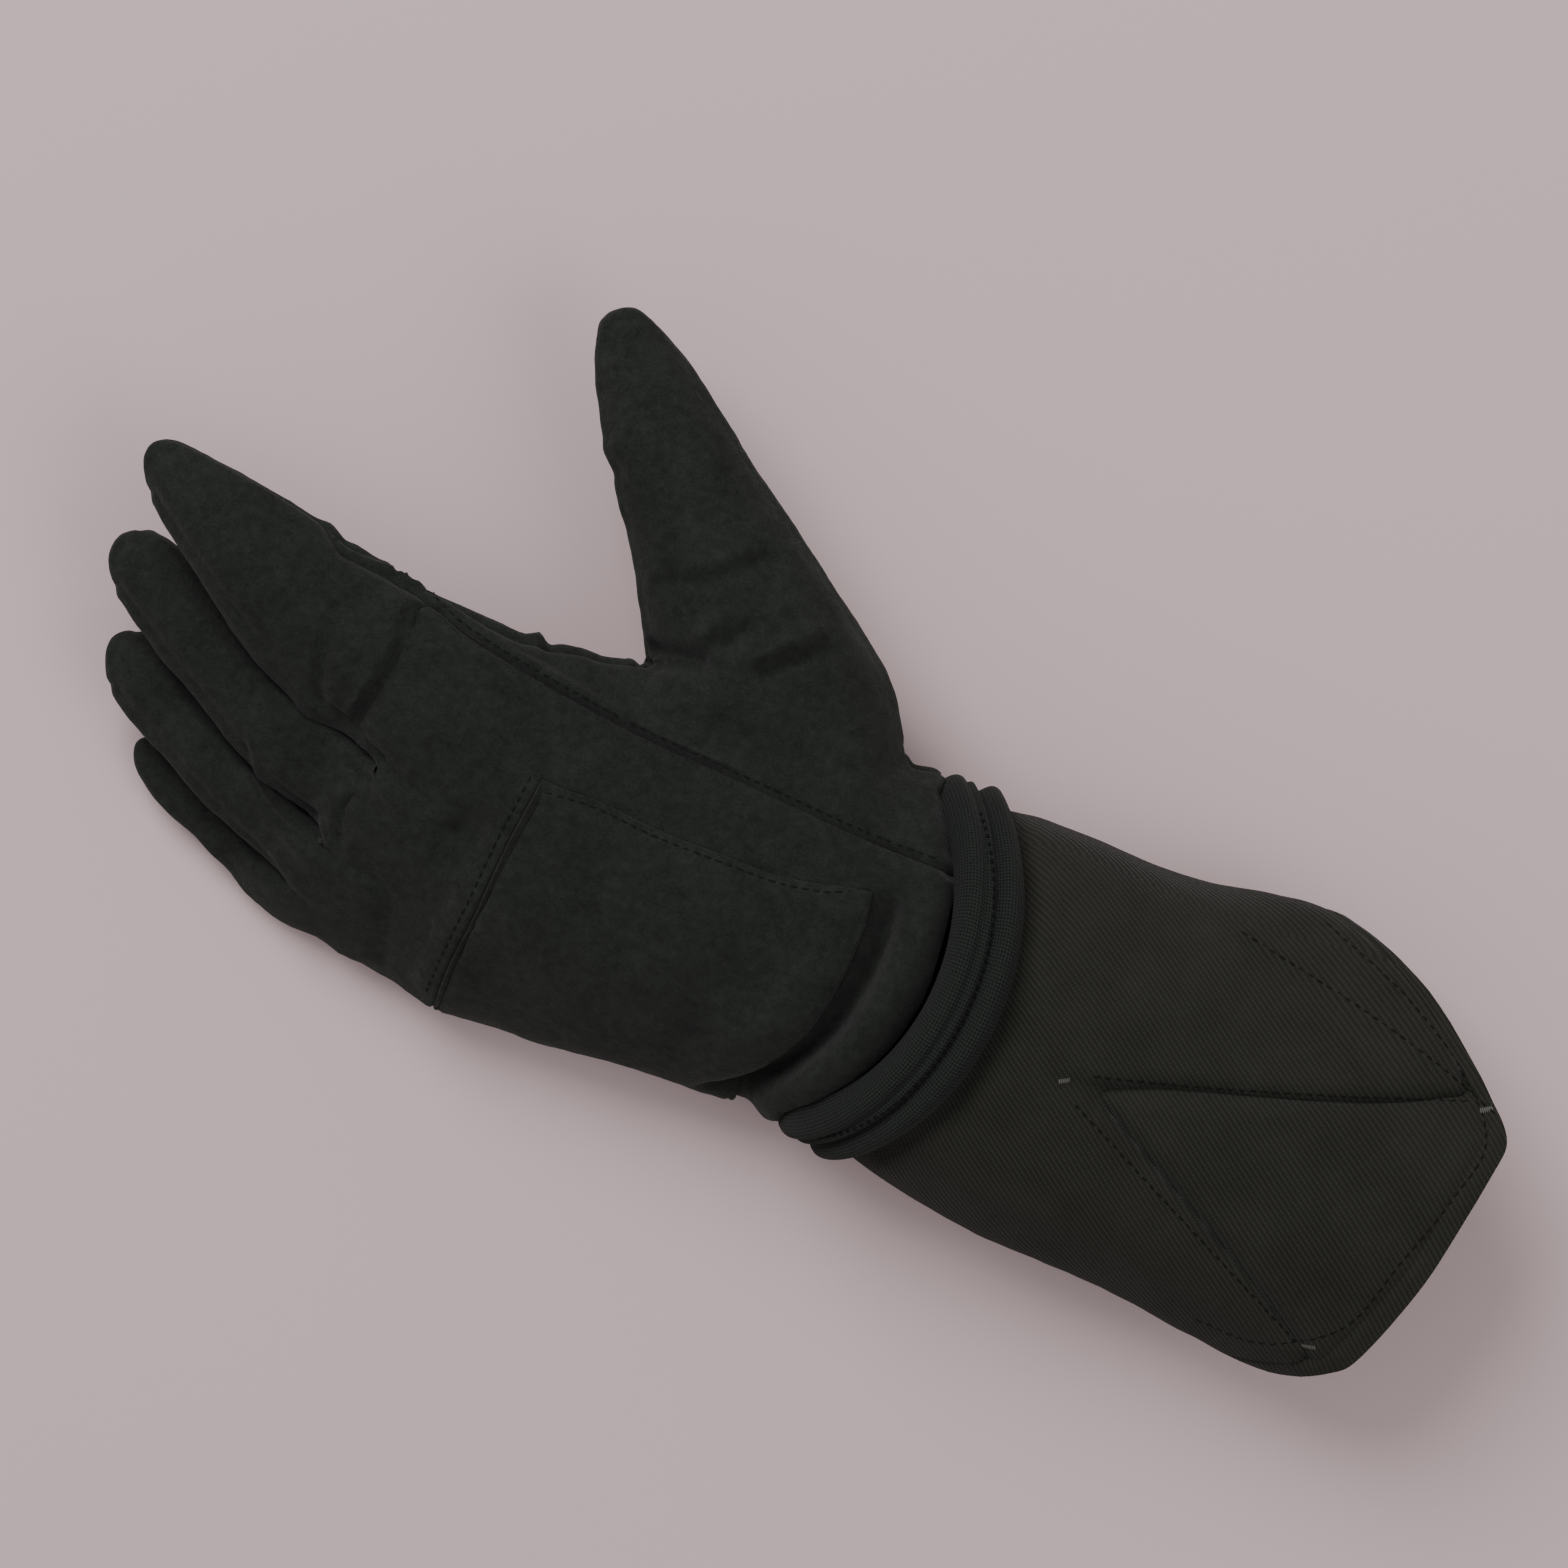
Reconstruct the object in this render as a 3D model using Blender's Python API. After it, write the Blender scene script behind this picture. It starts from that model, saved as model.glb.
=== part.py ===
"""A black fencing glove for the right hand, lying palm up: a sewn suede hand, an elastic wrist band
and a long twill cuff with a gusset.

Sizes are in metres. The glove is drawn with the middle of the wrist seam at x = 0 and y = 0:
+X runs up the forearm to the mouth of the cuff, +Y is the thumb's side and +Z the palm's.
The tables hold shares of the named sizes, and angles in degrees.
The last step moves everything so that the middle of the underside of its box is the origin.
"""

import math
from collections import namedtuple

import bpy
import numpy as np
from mathutils import Matrix, Vector

# Overall sizes of the hand
HAND_LENGTH = 0.2040
PALM_WIDTH = 0.0880
PALM_DEPTH = 0.0400
THUMB_REACH = 0.1120
THUMB_WIDTH = 0.0540
THUMB_DEPTH = 0.0350

# Overall sizes of the wrist and the cuff
WRIST_WIDTH = 0.0880
WRIST_DEPTH = 0.0500
CUFF_LENGTH = 0.1540
CUFF_WIDTH = 0.1020
CUFF_DEPTH = 0.0480

# Cloth and seams
HAND_WALL = 0.0015
CUFF_WALL = 0.0018
PATCH_WALL = 0.0015
PATCH_GAP = 0.0005
SEAM_GAP = 0.0003
SEAM_PULL = 0.6 * SEAM_GAP
CREASE_DEPTH = 0.0022
LIP_HEIGHT = 0.0026
FOLD_HEIGHT = 0.0015

# The elastic band: two ridges with a stitched groove between them
BAND_WIDTH = 0.0155
BAND_HEIGHT = 0.0040
BAND_WALL = 0.0016
BAND_START = 0.0002
BAND_REACH = 0.212
BAND_CENTRE = -0.004
BAND_LEVEL = 0.560
BAND_ROLL = 4

# Across the band, from the hand to the cuff. share: of BAND_WIDTH. rise: of BAND_HEIGHT.
Ridge = namedtuple("Ridge", "share rise")
BAND_PROFILE = (
    Ridge(0.00, 0.10),
    Ridge(0.13, 0.80),
    Ridge(0.26, 1.00),
    Ridge(0.39, 0.80),
    Ridge(0.50, 0.25),
    Ridge(0.61, 0.90),
    Ridge(0.76, 1.25),
    Ridge(0.90, 1.05),
    Ridge(1.00, 0.45),
)

# How many faces lie across one finger's front and down one side of it
ACROSS = 4
DOWN = 4
RING = 2 * (ACROSS + DOWN)
FINGERS = ("index", "middle", "ring", "little")
FRONT_LINES = ACROSS * len(FINGERS) + 1

# The palm's and the back's cloth run on up to this ring of each finger
ROOT_SEAM_LINE = 1

Section = namedtuple("Section", "along centre half_width half_depth height roll reach seam patch",
                     defaults=(0.0, 0.0))
Digit = namedtuple("Digit", "along across height half_width half_depth roll")

# The hand, from the wrist seam to the roots of the fingers.
# along: share of HAND_LENGTH. centre, half_width: shares of PALM_WIDTH. half_depth, height: shares of
# PALM_DEPTH. roll: degrees that the thumb's side is raised. reach: share of PALM_WIDTH that the
# middle of the palm runs on towards the forearm. seam, patch: shares of the section's width from the
# thumb's side at which the thumb's seam and the patch's edge lie.
HAND_SECTIONS = (
    Section(-0.005, -0.005, 0.518, 0.590, 0.650, 4, 0.212, 0.195, 0.235),
    Section(-0.014, -0.005, 0.524, 0.660, 0.650, 5, 0.135, 0.193, 0.235),
    Section(-0.034, 0.000, 0.500, 0.570, 0.600, 8, 0.040, 0.188, 0.245),
    Section(-0.050, 0.000, 0.512, 0.570, 0.590, 9, 0.020, 0.188, 0.290),
    Section(-0.095, -0.010, 0.522, 0.560, 0.580, 11, 0.010, 0.182, 0.335),
    Section(-0.165, -0.028, 0.532, 0.550, 0.570, 13, 0.000, 0.168, 0.342),
    Section(-0.235, -0.050, 0.540, 0.530, 0.560, 14, 0.000, 0.153, 0.332),
    Section(-0.305, -0.075, 0.546, 0.510, 0.560, 15, 0.000, 0.136, 0.317),
    Section(-0.370, -0.095, 0.546, 0.490, 0.560, 16, 0.000, 0.114, 0.304),
    Section(-0.412, -0.120, 0.542, 0.470, 0.560, 17, 0.000, 0.092, 0.293),
    Section(-0.428, -0.124, 0.542, 0.460, 0.555, 18, 0.000, 0.084, 0.289),
    Section(-0.470, -0.132, 0.540, 0.430, 0.545, 21, 0.000, 0.066, 0.275),
    Section(-0.505, -0.132, 0.540, 0.390, 0.530, 24, 0.000, 0.055, 0.268),
)
ROOT_SLANT = 0.30
FOLD_LINE = 1
PATCH_START = 3
PATCH_END = 9
LIP_LINE = 10
THUMB_SEAM_END = 11
THUMB_START = 3
THUMB_END = 8

# Where the lengthwise lines of the hand run. NEAR_SHARES: up to the thumb's seam, as shares of its
# place. FRONT_SHARES: past the patch's edge, as shares of the section's width from the thumb's side.
# Every fourth line is a finger's edge: the palm's side shows most of the index finger.
NEAR_SHARES = (0.30, 0.65, 1.00)
FRONT_SHARES = (
    0.47, 0.54, 0.60, 0.66, 0.71,
    0.75, 0.79, 0.83, 0.87,
    0.90, 0.93, 0.96, 0.98,
)
PATCH_COLUMN = 3
THUMB_COLUMN = 2

# The fingers, root to tip. along: share of HAND_LENGTH. across: share of PALM_WIDTH.
# height, half_depth: shares of PALM_DEPTH. half_width: share of PALM_WIDTH. roll: degrees that the
# thumb's side of the finger is raised.
FINGER_SECTIONS = {
    "index": (
        Digit(-0.640, 0.144, 0.795, 0.226, 0.240, 17),
        Digit(-0.686, 0.155, 0.810, 0.232, 0.225, 13),
        Digit(-0.765, 0.192, 0.850, 0.217, 0.205, 8),
        Digit(-0.846, 0.257, 0.870, 0.167, 0.195, 4),
        Digit(-0.912, 0.310, 0.870, 0.124, 0.175, 4),
        Digit(-0.961, 0.350, 0.860, 0.086, 0.130, 4),
    ),
    "middle": (
        Digit(-0.632, -0.224, 0.500, 0.102, 0.200, 21),
        Digit(-0.690, -0.190, 0.560, 0.109, 0.185, 14),
        Digit(-0.765, -0.116, 0.610, 0.109, 0.175, 4),
        Digit(-0.843, -0.024, 0.610, 0.117, 0.170, 4),
        Digit(-0.907, 0.052, 0.610, 0.122, 0.160, 4),
        Digit(-0.951, 0.084, 0.610, 0.090, 0.125, 4),
    ),
    "ring": (
        Digit(-0.655, -0.416, 0.340, 0.076, 0.165, 20),
        Digit(-0.700, -0.377, 0.385, 0.092, 0.155, 10),
        Digit(-0.742, -0.332, 0.400, 0.108, 0.158, 0),
        Digit(-0.804, -0.268, 0.400, 0.111, 0.155, 0),
        Digit(-0.863, -0.211, 0.400, 0.114, 0.148, 0),
        Digit(-0.909, -0.168, 0.400, 0.090, 0.120, 0),
    ),
    "little": (
        Digit(-0.670, -0.540, 0.150, 0.062, 0.125, 20),
        Digit(-0.702, -0.500, 0.132, 0.072, 0.125, 8),
        Digit(-0.737, -0.466, 0.135, 0.082, 0.130, 0),
        Digit(-0.780, -0.431, 0.132, 0.080, 0.128, 0),
        Digit(-0.816, -0.402, 0.130, 0.072, 0.122, 0),
        Digit(-0.841, -0.386, 0.130, 0.055, 0.100, 0),
    ),
}
TIP_BULGE = 0.42

# The skin between two fingers. CROTCH_DEPTH: share of its height that its middle runs back.
# CROTCH_MITRE: most times the wall that its corner may be thick. CROTCH_RISE and CROTCH_END: how much
# of the corner's way counts upwards, and at the two ends.
CROTCH_DEPTH = 0.15
CROTCH_MITRE = 3.0
CROTCH_RISE = 0.7
CROTCH_END = 2.0
PALM_WAY = np.array((0.0, 0.0, 1.0))

# The thumb, root to tip. along: share of HAND_LENGTH. across: share of THUMB_REACH.
# half_width: share of THUMB_WIDTH. half_depth: share of THUMB_DEPTH. height: share of PALM_DEPTH.
# roll: degrees between the section and the hand's length.
THUMB_SECTIONS = (
    Digit(-0.226, 0.436, 0.780, 0.528, 0.500, 20),
    Digit(-0.276, 0.494, 0.800, 0.450, 0.450, 38),
    Digit(-0.318, 0.560, 0.820, 0.400, 0.400, 43),
    Digit(-0.372, 0.652, 0.820, 0.335, 0.350, 45),
    Digit(-0.428, 0.738, 0.810, 0.292, 0.310, 45),
    Digit(-0.486, 0.830, 0.790, 0.240, 0.265, 45),
    Digit(-0.522, 0.890, 0.780, 0.196, 0.225, 45),
    Digit(-0.551, 0.944, 0.770, 0.136, 0.165, 45),
)

# The cuff, from under the band to its mouth. along: share of CUFF_LENGTH. centre, half_width:
# shares of CUFF_WIDTH. half_depth, height: shares of CUFF_DEPTH. reach: share of CUFF_LENGTH that
# the line round the cuff bulges towards the mouth.
CUFF_SECTIONS = (
    Section(0.070, -0.004, 0.422, 0.495, 0.595, 3, 0.110),
    Section(0.108, -0.004, 0.440, 0.522, 0.580, 3, 0.112),
    Section(0.150, -0.006, 0.456, 0.540, 0.555, 2, 0.118),
    Section(0.196, -0.006, 0.464, 0.545, 0.530, 1, 0.134),
    Section(0.244, -0.006, 0.467, 0.545, 0.515, 0, 0.160),
    Section(0.296, -0.006, 0.470, 0.540, 0.505, 0, 0.190),
    Section(0.350, -0.006, 0.473, 0.535, 0.500, 0, 0.224),
    Section(0.405, -0.003, 0.478, 0.530, 0.495, 0, 0.262),
    Section(0.460, 0.005, 0.486, 0.525, 0.490, 0, 0.300),
    Section(0.515, 0.018, 0.500, 0.515, 0.485, 0, 0.336),
    Section(0.570, 0.028, 0.514, 0.505, 0.480, 0, 0.370),
    Section(0.600, 0.030, 0.518, 0.500, 0.478, 0, 0.386),
    Section(0.622, 0.030, 0.520, 0.495, 0.476, 0, 0.398),
)
GUSSET_APEX_LINE = 4
GUSSET_APEX_COLUMN = 9
GUSSET_STEPS = 7
HEM_LINE = 11

# How far each part of the mouth's rim reaches towards the forearm. angle: degrees round the cuff
# from the thumb's side over the palm's. wrist, mouth: shares of a section's reach there.
Reach = namedtuple("Reach", "angle wrist mouth")
REACHES = (
    Reach(-30, 0.00, 0.00),
    Reach(0, 0.00, 0.06),
    Reach(30, 0.55, 0.50),
    Reach(64, 0.95, 0.98),
    Reach(105, 1.00, 0.93),
    Reach(145, 0.60, 0.82),
    Reach(165, 0.25, 0.62),
    Reach(180, 0.00, 0.36),
    Reach(205, 0.00, 0.08),
    Reach(270, 0.00, 0.45),
    Reach(330, 0.00, 0.00),
    Reach(360, 0.00, 0.06),
)

# Where the lengthwise lines of the cuff run, as shares of its width from the thumb's side: at its
# edges, and evenly between the gusset's corners.
CUFF_NEAR_SHARES = (0.03, 0.09)
GUSSET_SHARES = (0.170, 0.925)
CUFF_FAR_SHARES = (0.975,)
CUFF_ROUNDNESS = 0.80
HAND_ROUNDNESS = 0.85
REACH_POWER = 1.5

SHARP_ANGLE = 50

SUEDE = ("suede", (0.0150, 0.0165, 0.0160), 0.85)
TWILL = ("twill", (0.0180, 0.0180, 0.0160), 0.90)
ELASTIC = ("elastic", (0.0120, 0.0135, 0.0130), 0.80)


class Skin:
    """A surface of shared points, whose faces each belong to a named panel."""

    def __init__(self, reverse=False):
        self.points = []
        self.faces = []
        self.panels = []
        self.fixed_normals = {}
        self.reverse = reverse

    def add_point(self, point):
        """Adds a point and returns its number. Nothing reaches under the surface it lies on."""
        x, y, z = point
        self.points.append((x, y, max(z, 0.0)))
        return len(self.points) - 1

    def add_face(self, corners, panel):
        """Adds a face to a panel."""
        self.faces.append(tuple(reversed(corners)) if self.reverse else tuple(corners))
        self.panels.append(panel)

    def normals(self):
        """Returns the points and their outward normals, each averaged over the faces around it."""
        points = np.array(self.points)
        normals = np.zeros_like(points)
        for face in self.faces:
            a, b, c = points[face[0]], points[face[1]], points[face[2]]
            d = points[face[-1]]
            normal = np.cross(c - a, d - b) if len(face) == 4 else np.cross(b - a, c - a)
            for corner in face:
                normals[corner] += normal
        lengths = np.linalg.norm(normals, axis=1)
        normals /= np.maximum(lengths, 1e-12)[:, None]
        for number, normal in self.fixed_normals.items():
            normals[number] = normal
        return points, normals


def clear_scene():
    """Removes whatever the scene holds."""
    for obj in list(bpy.data.objects):
        bpy.data.objects.remove(obj)


def material_of(finish):
    """Returns the material with that name, made on first use."""
    name, colour, roughness = finish
    material = bpy.data.materials.get(name)
    if material is None:
        material = bpy.data.materials.new(name)
        material.use_nodes = True
        shader = material.node_tree.nodes["Principled BSDF"]
        shader.inputs["Base Color"].default_value = (*colour, 1.0)
        shader.inputs["Roughness"].default_value = roughness
        shader.inputs["Metallic"].default_value = 0.0
    return material


def signed_power(value, power):
    """Returns value raised to power, keeping its sign."""
    return math.copysign(abs(value) ** power, value)


def share_to_angle(share):
    """Returns the angle round a section at which that share of its width lies."""
    return math.acos(1.0 - 2.0 * share)


def section_angles(front_shares, back_shares):
    """Returns the angles of the lines round a section, from the thumb's side over the palm."""
    front = [share_to_angle(share) for share in front_shares]
    back = [-share_to_angle(share) for share in back_shares]
    far_side = np.linspace(front[-1], 2 * math.pi + back[-1], DOWN + 1)[1:-1]
    near_side = np.linspace(back[0], front[0], DOWN + 1)[1:-1]
    return [*front, *far_side, *reversed(back), *near_side]


def section_point(x, angle, size, roundness):
    """Returns the point at an angle round a section.

    size holds the middle's y and z, the half width, the half depth and the roll in degrees.
    """
    middle_y, middle_z, half_width, half_depth, roll = size
    across = half_width * math.cos(angle)
    up = half_depth * signed_power(math.sin(angle), roundness)
    turn = math.radians(roll)
    y = middle_y + across * math.cos(turn) - up * math.sin(turn)
    z = middle_z + across * math.sin(turn) + up * math.cos(turn)
    return x, y, z


def reach_at(angle):
    """Returns how far round the palm's side an angle lies: 1 in the middle and 0 at the edges."""
    return max(math.sin(angle), 0.0) ** REACH_POWER


def hand_angles(section):
    """Returns the angles of the lines round one of the hand's sections."""
    shares = [*(section.seam * part for part in NEAR_SHARES), section.patch, *FRONT_SHARES]
    return section_angles(shares, shares)


def hand_size(section):
    """Returns the size of one of the hand's sections, in metres."""
    return (
        section.centre * PALM_WIDTH,
        section.height * PALM_DEPTH,
        section.half_width * PALM_WIDTH,
        section.half_depth * PALM_DEPTH,
        section.roll,
    )


def lift_at(line, column):
    """Returns how far a fold or lip lifts a point of the palm's side, in metres."""
    if column >= FRONT_LINES:
        return 0.0
    edge = min(1.0, min(column, FRONT_LINES - 1 - column) / 2.0)
    if line == FOLD_LINE:
        return FOLD_HEIGHT * edge
    if line == LIP_LINE and column >= PATCH_COLUMN:
        return LIP_HEIGHT
    if line == PATCH_START - 1:
        return -CREASE_DEPTH * edge
    return 0.0


def add_hand_lines(skin):
    """Adds the hand's points and returns them, a row of point numbers for each section."""
    rows = []
    for line, section in enumerate(HAND_SECTIONS):
        size = hand_size(section)
        row = []
        for column, angle in enumerate(hand_angles(section)):
            x = section.along * HAND_LENGTH + section.reach * PALM_WIDTH * reach_at(angle)
            if line == len(HAND_SECTIONS) - 1:
                x -= ROOT_SLANT * PALM_WIDTH * (0.5 - 0.5 * math.cos(angle))
            x, y, z = section_point(x, angle, size, HAND_ROUNDNESS)
            row.append(skin.add_point((x, y, z + lift_at(line, column))))
        rows.append(row)
    return rows


def hand_panel(line, column):
    """Returns the panel of the face between a section and the next, or None inside the thumb."""
    front_last = FRONT_LINES - 1
    far_middle = front_last + DOWN // 2
    back_last = front_last + DOWN + front_last
    near_middle = back_last + DOWN // 2
    beside_thumb = column < THUMB_COLUMN or column >= back_last - THUMB_COLUMN
    if THUMB_START <= line < THUMB_END and beside_thumb:
        return None
    thumb_columns = min(THUMB_COLUMN, THUMB_SEAM_END - line)
    if column < thumb_columns or column >= near_middle:
        return "thumb_front" if line < THUMB_SEAM_END else "palm_panel"
    return "palm_panel" if column < far_middle else "back_panel"


def add_hand_faces(skin, rows):
    """Joins the hand's sections with faces, leaving the thumb's root open."""
    count = len(rows[0])
    for line in range(len(rows) - 1):
        for column in range(count):
            panel = hand_panel(line, column)
            if panel is None:
                continue
            after = (column + 1) % count
            corners = (rows[line][column], rows[line][after],
                       rows[line + 1][after], rows[line + 1][column])
            skin.add_face(corners, panel)


def digit_ring(section, count, start_angle, frame):
    """Returns the points round one section of a digit.

    frame holds the middle, the direction across and the direction up, and the half sizes.
    """
    middle, across, up, half_width, half_depth = frame
    points = []
    for number in range(count):
        angle = start_angle + 2 * math.pi * number / count
        points.append(middle + across * half_width * math.cos(angle)
                      + up * half_depth * math.sin(angle))
    return points


def finger_frame(section):
    """Returns the frame of one of a finger's sections."""
    middle = np.array((section.along * HAND_LENGTH, section.across * PALM_WIDTH,
                       section.height * PALM_DEPTH))
    turn = math.radians(section.roll)
    across = np.array((0.0, math.cos(turn), math.sin(turn)))
    up = np.array((0.0, -math.sin(turn), math.cos(turn)))
    return middle, across, up, section.half_width * PALM_WIDTH, section.half_depth * PALM_DEPTH


def thumb_frame(section):
    """Returns the frame of one of the thumb's sections, across which +X turns to the web."""
    middle = np.array((section.along * HAND_LENGTH, section.across * THUMB_REACH,
                       section.height * PALM_DEPTH))
    turn = math.radians(section.roll)
    across = np.array((math.cos(turn), math.sin(turn), 0.0))
    up = np.array((0.0, 0.0, 1.0))
    return middle, across, up, section.half_width * THUMB_WIDTH, section.half_depth * THUMB_DEPTH


def add_cap(skin, last_rings, wide, deep, panel_of_row):
    """Closes the end of a digit, past its last two rings, with a rounded grid of faces."""
    before, ring = last_rings
    grid = {}
    for column in range(wide + 1):
        grid[0, column] = ring[column]
        grid[deep, column] = ring[2 * wide + deep - column]
    for row in range(1, deep):
        grid[row, wide] = ring[wide + row]
        grid[row, 0] = ring[(2 * wide + 2 * deep - row) % len(ring)]
    last = np.array([skin.points[number] for number in ring])
    outward = last.mean(axis=0) - np.mean([skin.points[number] for number in before], axis=0)
    outward /= np.linalg.norm(outward)
    spread = np.linalg.norm(last[0] - last[len(ring) // 2])
    for row in range(1, deep):
        for column in range(1, wide):
            s, t = column / wide, row / deep
            top, bottom = np.array(skin.points[grid[0, column]]), np.array(skin.points[grid[deep, column]])
            left, right = np.array(skin.points[grid[row, 0]]), np.array(skin.points[grid[row, wide]])
            point = 0.5 * (top * (1 - t) + bottom * t + left * (1 - s) + right * s)
            dome = math.sqrt((1 - (2 * s - 1) ** 2) * (1 - (2 * t - 1) ** 2))
            grid[row, column] = skin.add_point(point + outward * spread * TIP_BULGE * dome)
    for row in range(deep):
        for column in range(wide):
            corners = (grid[row, column], grid[row, column + 1],
                       grid[row + 1, column + 1], grid[row + 1, column])
            skin.add_face(corners, panel_of_row(row))


def add_rings(skin, root, rings, panel_of):
    """Joins a root ring and the rings after it with faces, and returns those rings."""
    before = root
    added = []
    for line, points in enumerate(rings):
        after = [skin.add_point(point) for point in points]
        added.append(after)
        count = len(before)
        for column in range(count):
            following = (column + 1) % count
            corners = (before[column], before[following], after[following], after[column])
            skin.add_face(corners, panel_of(line, column))
        before = after
    return added


def add_crotch(skin, row, finger):
    """Adds the points between two fingers, from the palm's side down to the back."""
    front = row[(finger + 1) * ACROSS]
    back = row[2 * (FRONT_LINES - 1) + DOWN - (finger + 1) * ACROSS]
    top, bottom = np.array(skin.points[front]), np.array(skin.points[back])
    depth = CROTCH_DEPTH * np.linalg.norm(top - bottom)
    inner = []
    for number in range(1, DOWN):
        share = number / DOWN
        point = top * (1 - share) + bottom * share
        point[0] += depth * math.sin(math.pi * share)
        inner.append(skin.add_point(point))
    return [front, *inner, back]


def set_mitre(skin, crotch, this_ring, next_ring):
    """Turns the normals along a crotch so that the walls on both its sides keep their thickness."""
    for step, number in enumerate(crotch):
        point = np.array(skin.points[number])
        sides = [np.array(skin.points[ring[place]]) - point
                 for ring, place in ((this_ring, ACROSS + step), (next_ring, -step))]
        sides = [side / np.linalg.norm(side) for side in sides]
        half_angle = 0.5 * math.acos(np.clip(sides[0] @ sides[1], -1.0, 1.0))
        way = (sides[0] + sides[1]) / np.linalg.norm(sides[0] + sides[1])
        way[2] *= CROTCH_RISE
        mitre = way * min(1.0 / math.sin(half_angle), CROTCH_MITRE)
        if step in (0, DOWN):
            mitre = CROTCH_END * way + (PALM_WAY if step == 0 else -PALM_WAY)
        skin.fixed_normals[number] = mitre


def add_fingers(skin, row):
    """Adds the four fingers beyond the hand's last section."""
    crotches = [add_crotch(skin, row, finger) for finger in range(len(FINGERS) - 1)]
    last = FRONT_LINES - 1
    far_side = row[last + 1:last + DOWN]
    near_side = row[-(DOWN - 1):]
    back_start = last + DOWN
    first_rings = []
    for number, name in enumerate(FINGERS):
        front = row[number * ACROSS:(number + 1) * ACROSS + 1]
        ends = (back_start + last - number * ACROSS, back_start + last - (number + 1) * ACROSS)
        back = row[ends[1]:ends[0] + 1]
        down = far_side if number == len(FINGERS) - 1 else crotches[number][1:-1]
        up = near_side if number == 0 else crotches[number - 1][-2:0:-1]
        root = [*front, *down, *back, *up]

        def panel_of(line, column, number=number, name=name):
            front = f"{name}_front" if line >= ROOT_SEAM_LINE else "palm_panel"
            back = f"{name}_back" if line >= ROOT_SEAM_LINE else "back_panel"
            if column < ACROSS:
                return front
            if column < ACROSS + DOWN:
                if number < len(FINGERS) - 1:
                    return f"finger_strip_{number + 1}"
                return front if column < ACROSS + DOWN // 2 else back
            if column < 2 * ACROSS + DOWN:
                return back
            if number > 0:
                return f"finger_strip_{number}"
            return back if column < 2 * ACROSS + DOWN + DOWN // 2 else front

        start = math.pi / 4
        rings = [digit_ring(section, RING, start, finger_frame(section))
                 for section in FINGER_SECTIONS[name]]
        rows = add_rings(skin, root, rings, panel_of)
        first_rings.append(rows[0])
        add_cap(skin, rows[-2:], ACROSS, DOWN,
                lambda line, name=name: f"{name}_front" if line < DOWN // 2 else f"{name}_back")
    for number, crotch in enumerate(crotches):
        set_mitre(skin, crotch, first_rings[number], first_rings[number + 1])


def add_thumb(skin, rows):
    """Adds the thumb over the opening that was left on the hand's side."""
    last = FRONT_LINES - 1
    back_last = last + DOWN + last
    count = len(rows[0])
    across = [column % count for column in range(back_last - THUMB_COLUMN, count + THUMB_COLUMN + 1)]
    long = THUMB_END - THUMB_START
    deep = len(across) - 1
    front = [rows[line][across[-1]] for line in range(THUMB_START, THUMB_END + 1)]
    web = [rows[THUMB_END][column] for column in reversed(across[1:-1])]
    back = [rows[line][across[0]] for line in range(THUMB_END, THUMB_START - 1, -1)]
    wrist = [rows[THUMB_START][column] for column in across[1:-1]]
    root = [*front, *web, *back, *wrist]

    def panel_of(_, column):
        if column < long + deep // 2 or column >= 2 * long + deep + deep // 2:
            return "thumb_front"
        return "thumb_back"

    start = math.pi / 2 - math.pi * long / (2 * (long + deep))
    rings = [digit_ring(section, len(root), start, thumb_frame(section))
             for section in THUMB_SECTIONS]
    rings = add_rings(skin, root, rings, panel_of)
    add_cap(skin, rings[-2:], long, deep,
            lambda line: "thumb_front" if line < deep // 2 else "thumb_back")


def cuff_angles():
    """Returns the angles of the lines round the cuff, close to even across the palm's side."""
    first, last = GUSSET_SHARES
    shares = [*CUFF_NEAR_SHARES, *np.linspace(first, last, 2 * GUSSET_STEPS + 1), *CUFF_FAR_SHARES]
    return section_angles(shares, [1 - share for share in reversed(shares)])


def cuff_reach(angle, toward_mouth):
    """Returns the share of a section's reach that a line round the cuff has."""
    degrees = math.degrees(angle)
    degrees += 360 if degrees < REACHES[0].angle else 0
    angles = [reach.angle for reach in REACHES]
    wrist = np.interp(degrees, angles, [reach.wrist for reach in REACHES])
    mouth = np.interp(degrees, angles, [reach.mouth for reach in REACHES])
    return wrist * (1 - toward_mouth) + mouth * toward_mouth


def gusset_edges(line):
    """Returns the first and last column of the gusset on a line of the cuff, or None before it."""
    step = line - GUSSET_APEX_LINE
    if step < 0:
        return None
    step = min(step, GUSSET_STEPS)
    return GUSSET_APEX_COLUMN - step, GUSSET_APEX_COLUMN + step


def add_cuff_lines(skin):
    """Adds the cuff's points and returns them, a row of point numbers for each section."""
    rows = []
    angles = cuff_angles()
    for line, section in enumerate(CUFF_SECTIONS):
        size = (section.centre * CUFF_WIDTH, section.height * CUFF_DEPTH,
                section.half_width * CUFF_WIDTH, section.half_depth * CUFF_DEPTH, section.roll)
        edges = gusset_edges(line)
        toward_mouth = line / (len(CUFF_SECTIONS) - 1)
        row = []
        for column, angle in enumerate(angles):
            x = (section.along + section.reach * cuff_reach(angle, toward_mouth)) * CUFF_LENGTH
            x, y, z = section_point(x, angle, size, CUFF_ROUNDNESS)
            if edges is not None and column in edges:
                z -= CREASE_DEPTH
            row.append(skin.add_point((x, y, z)))
        rows.append(row)
    return rows


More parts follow.
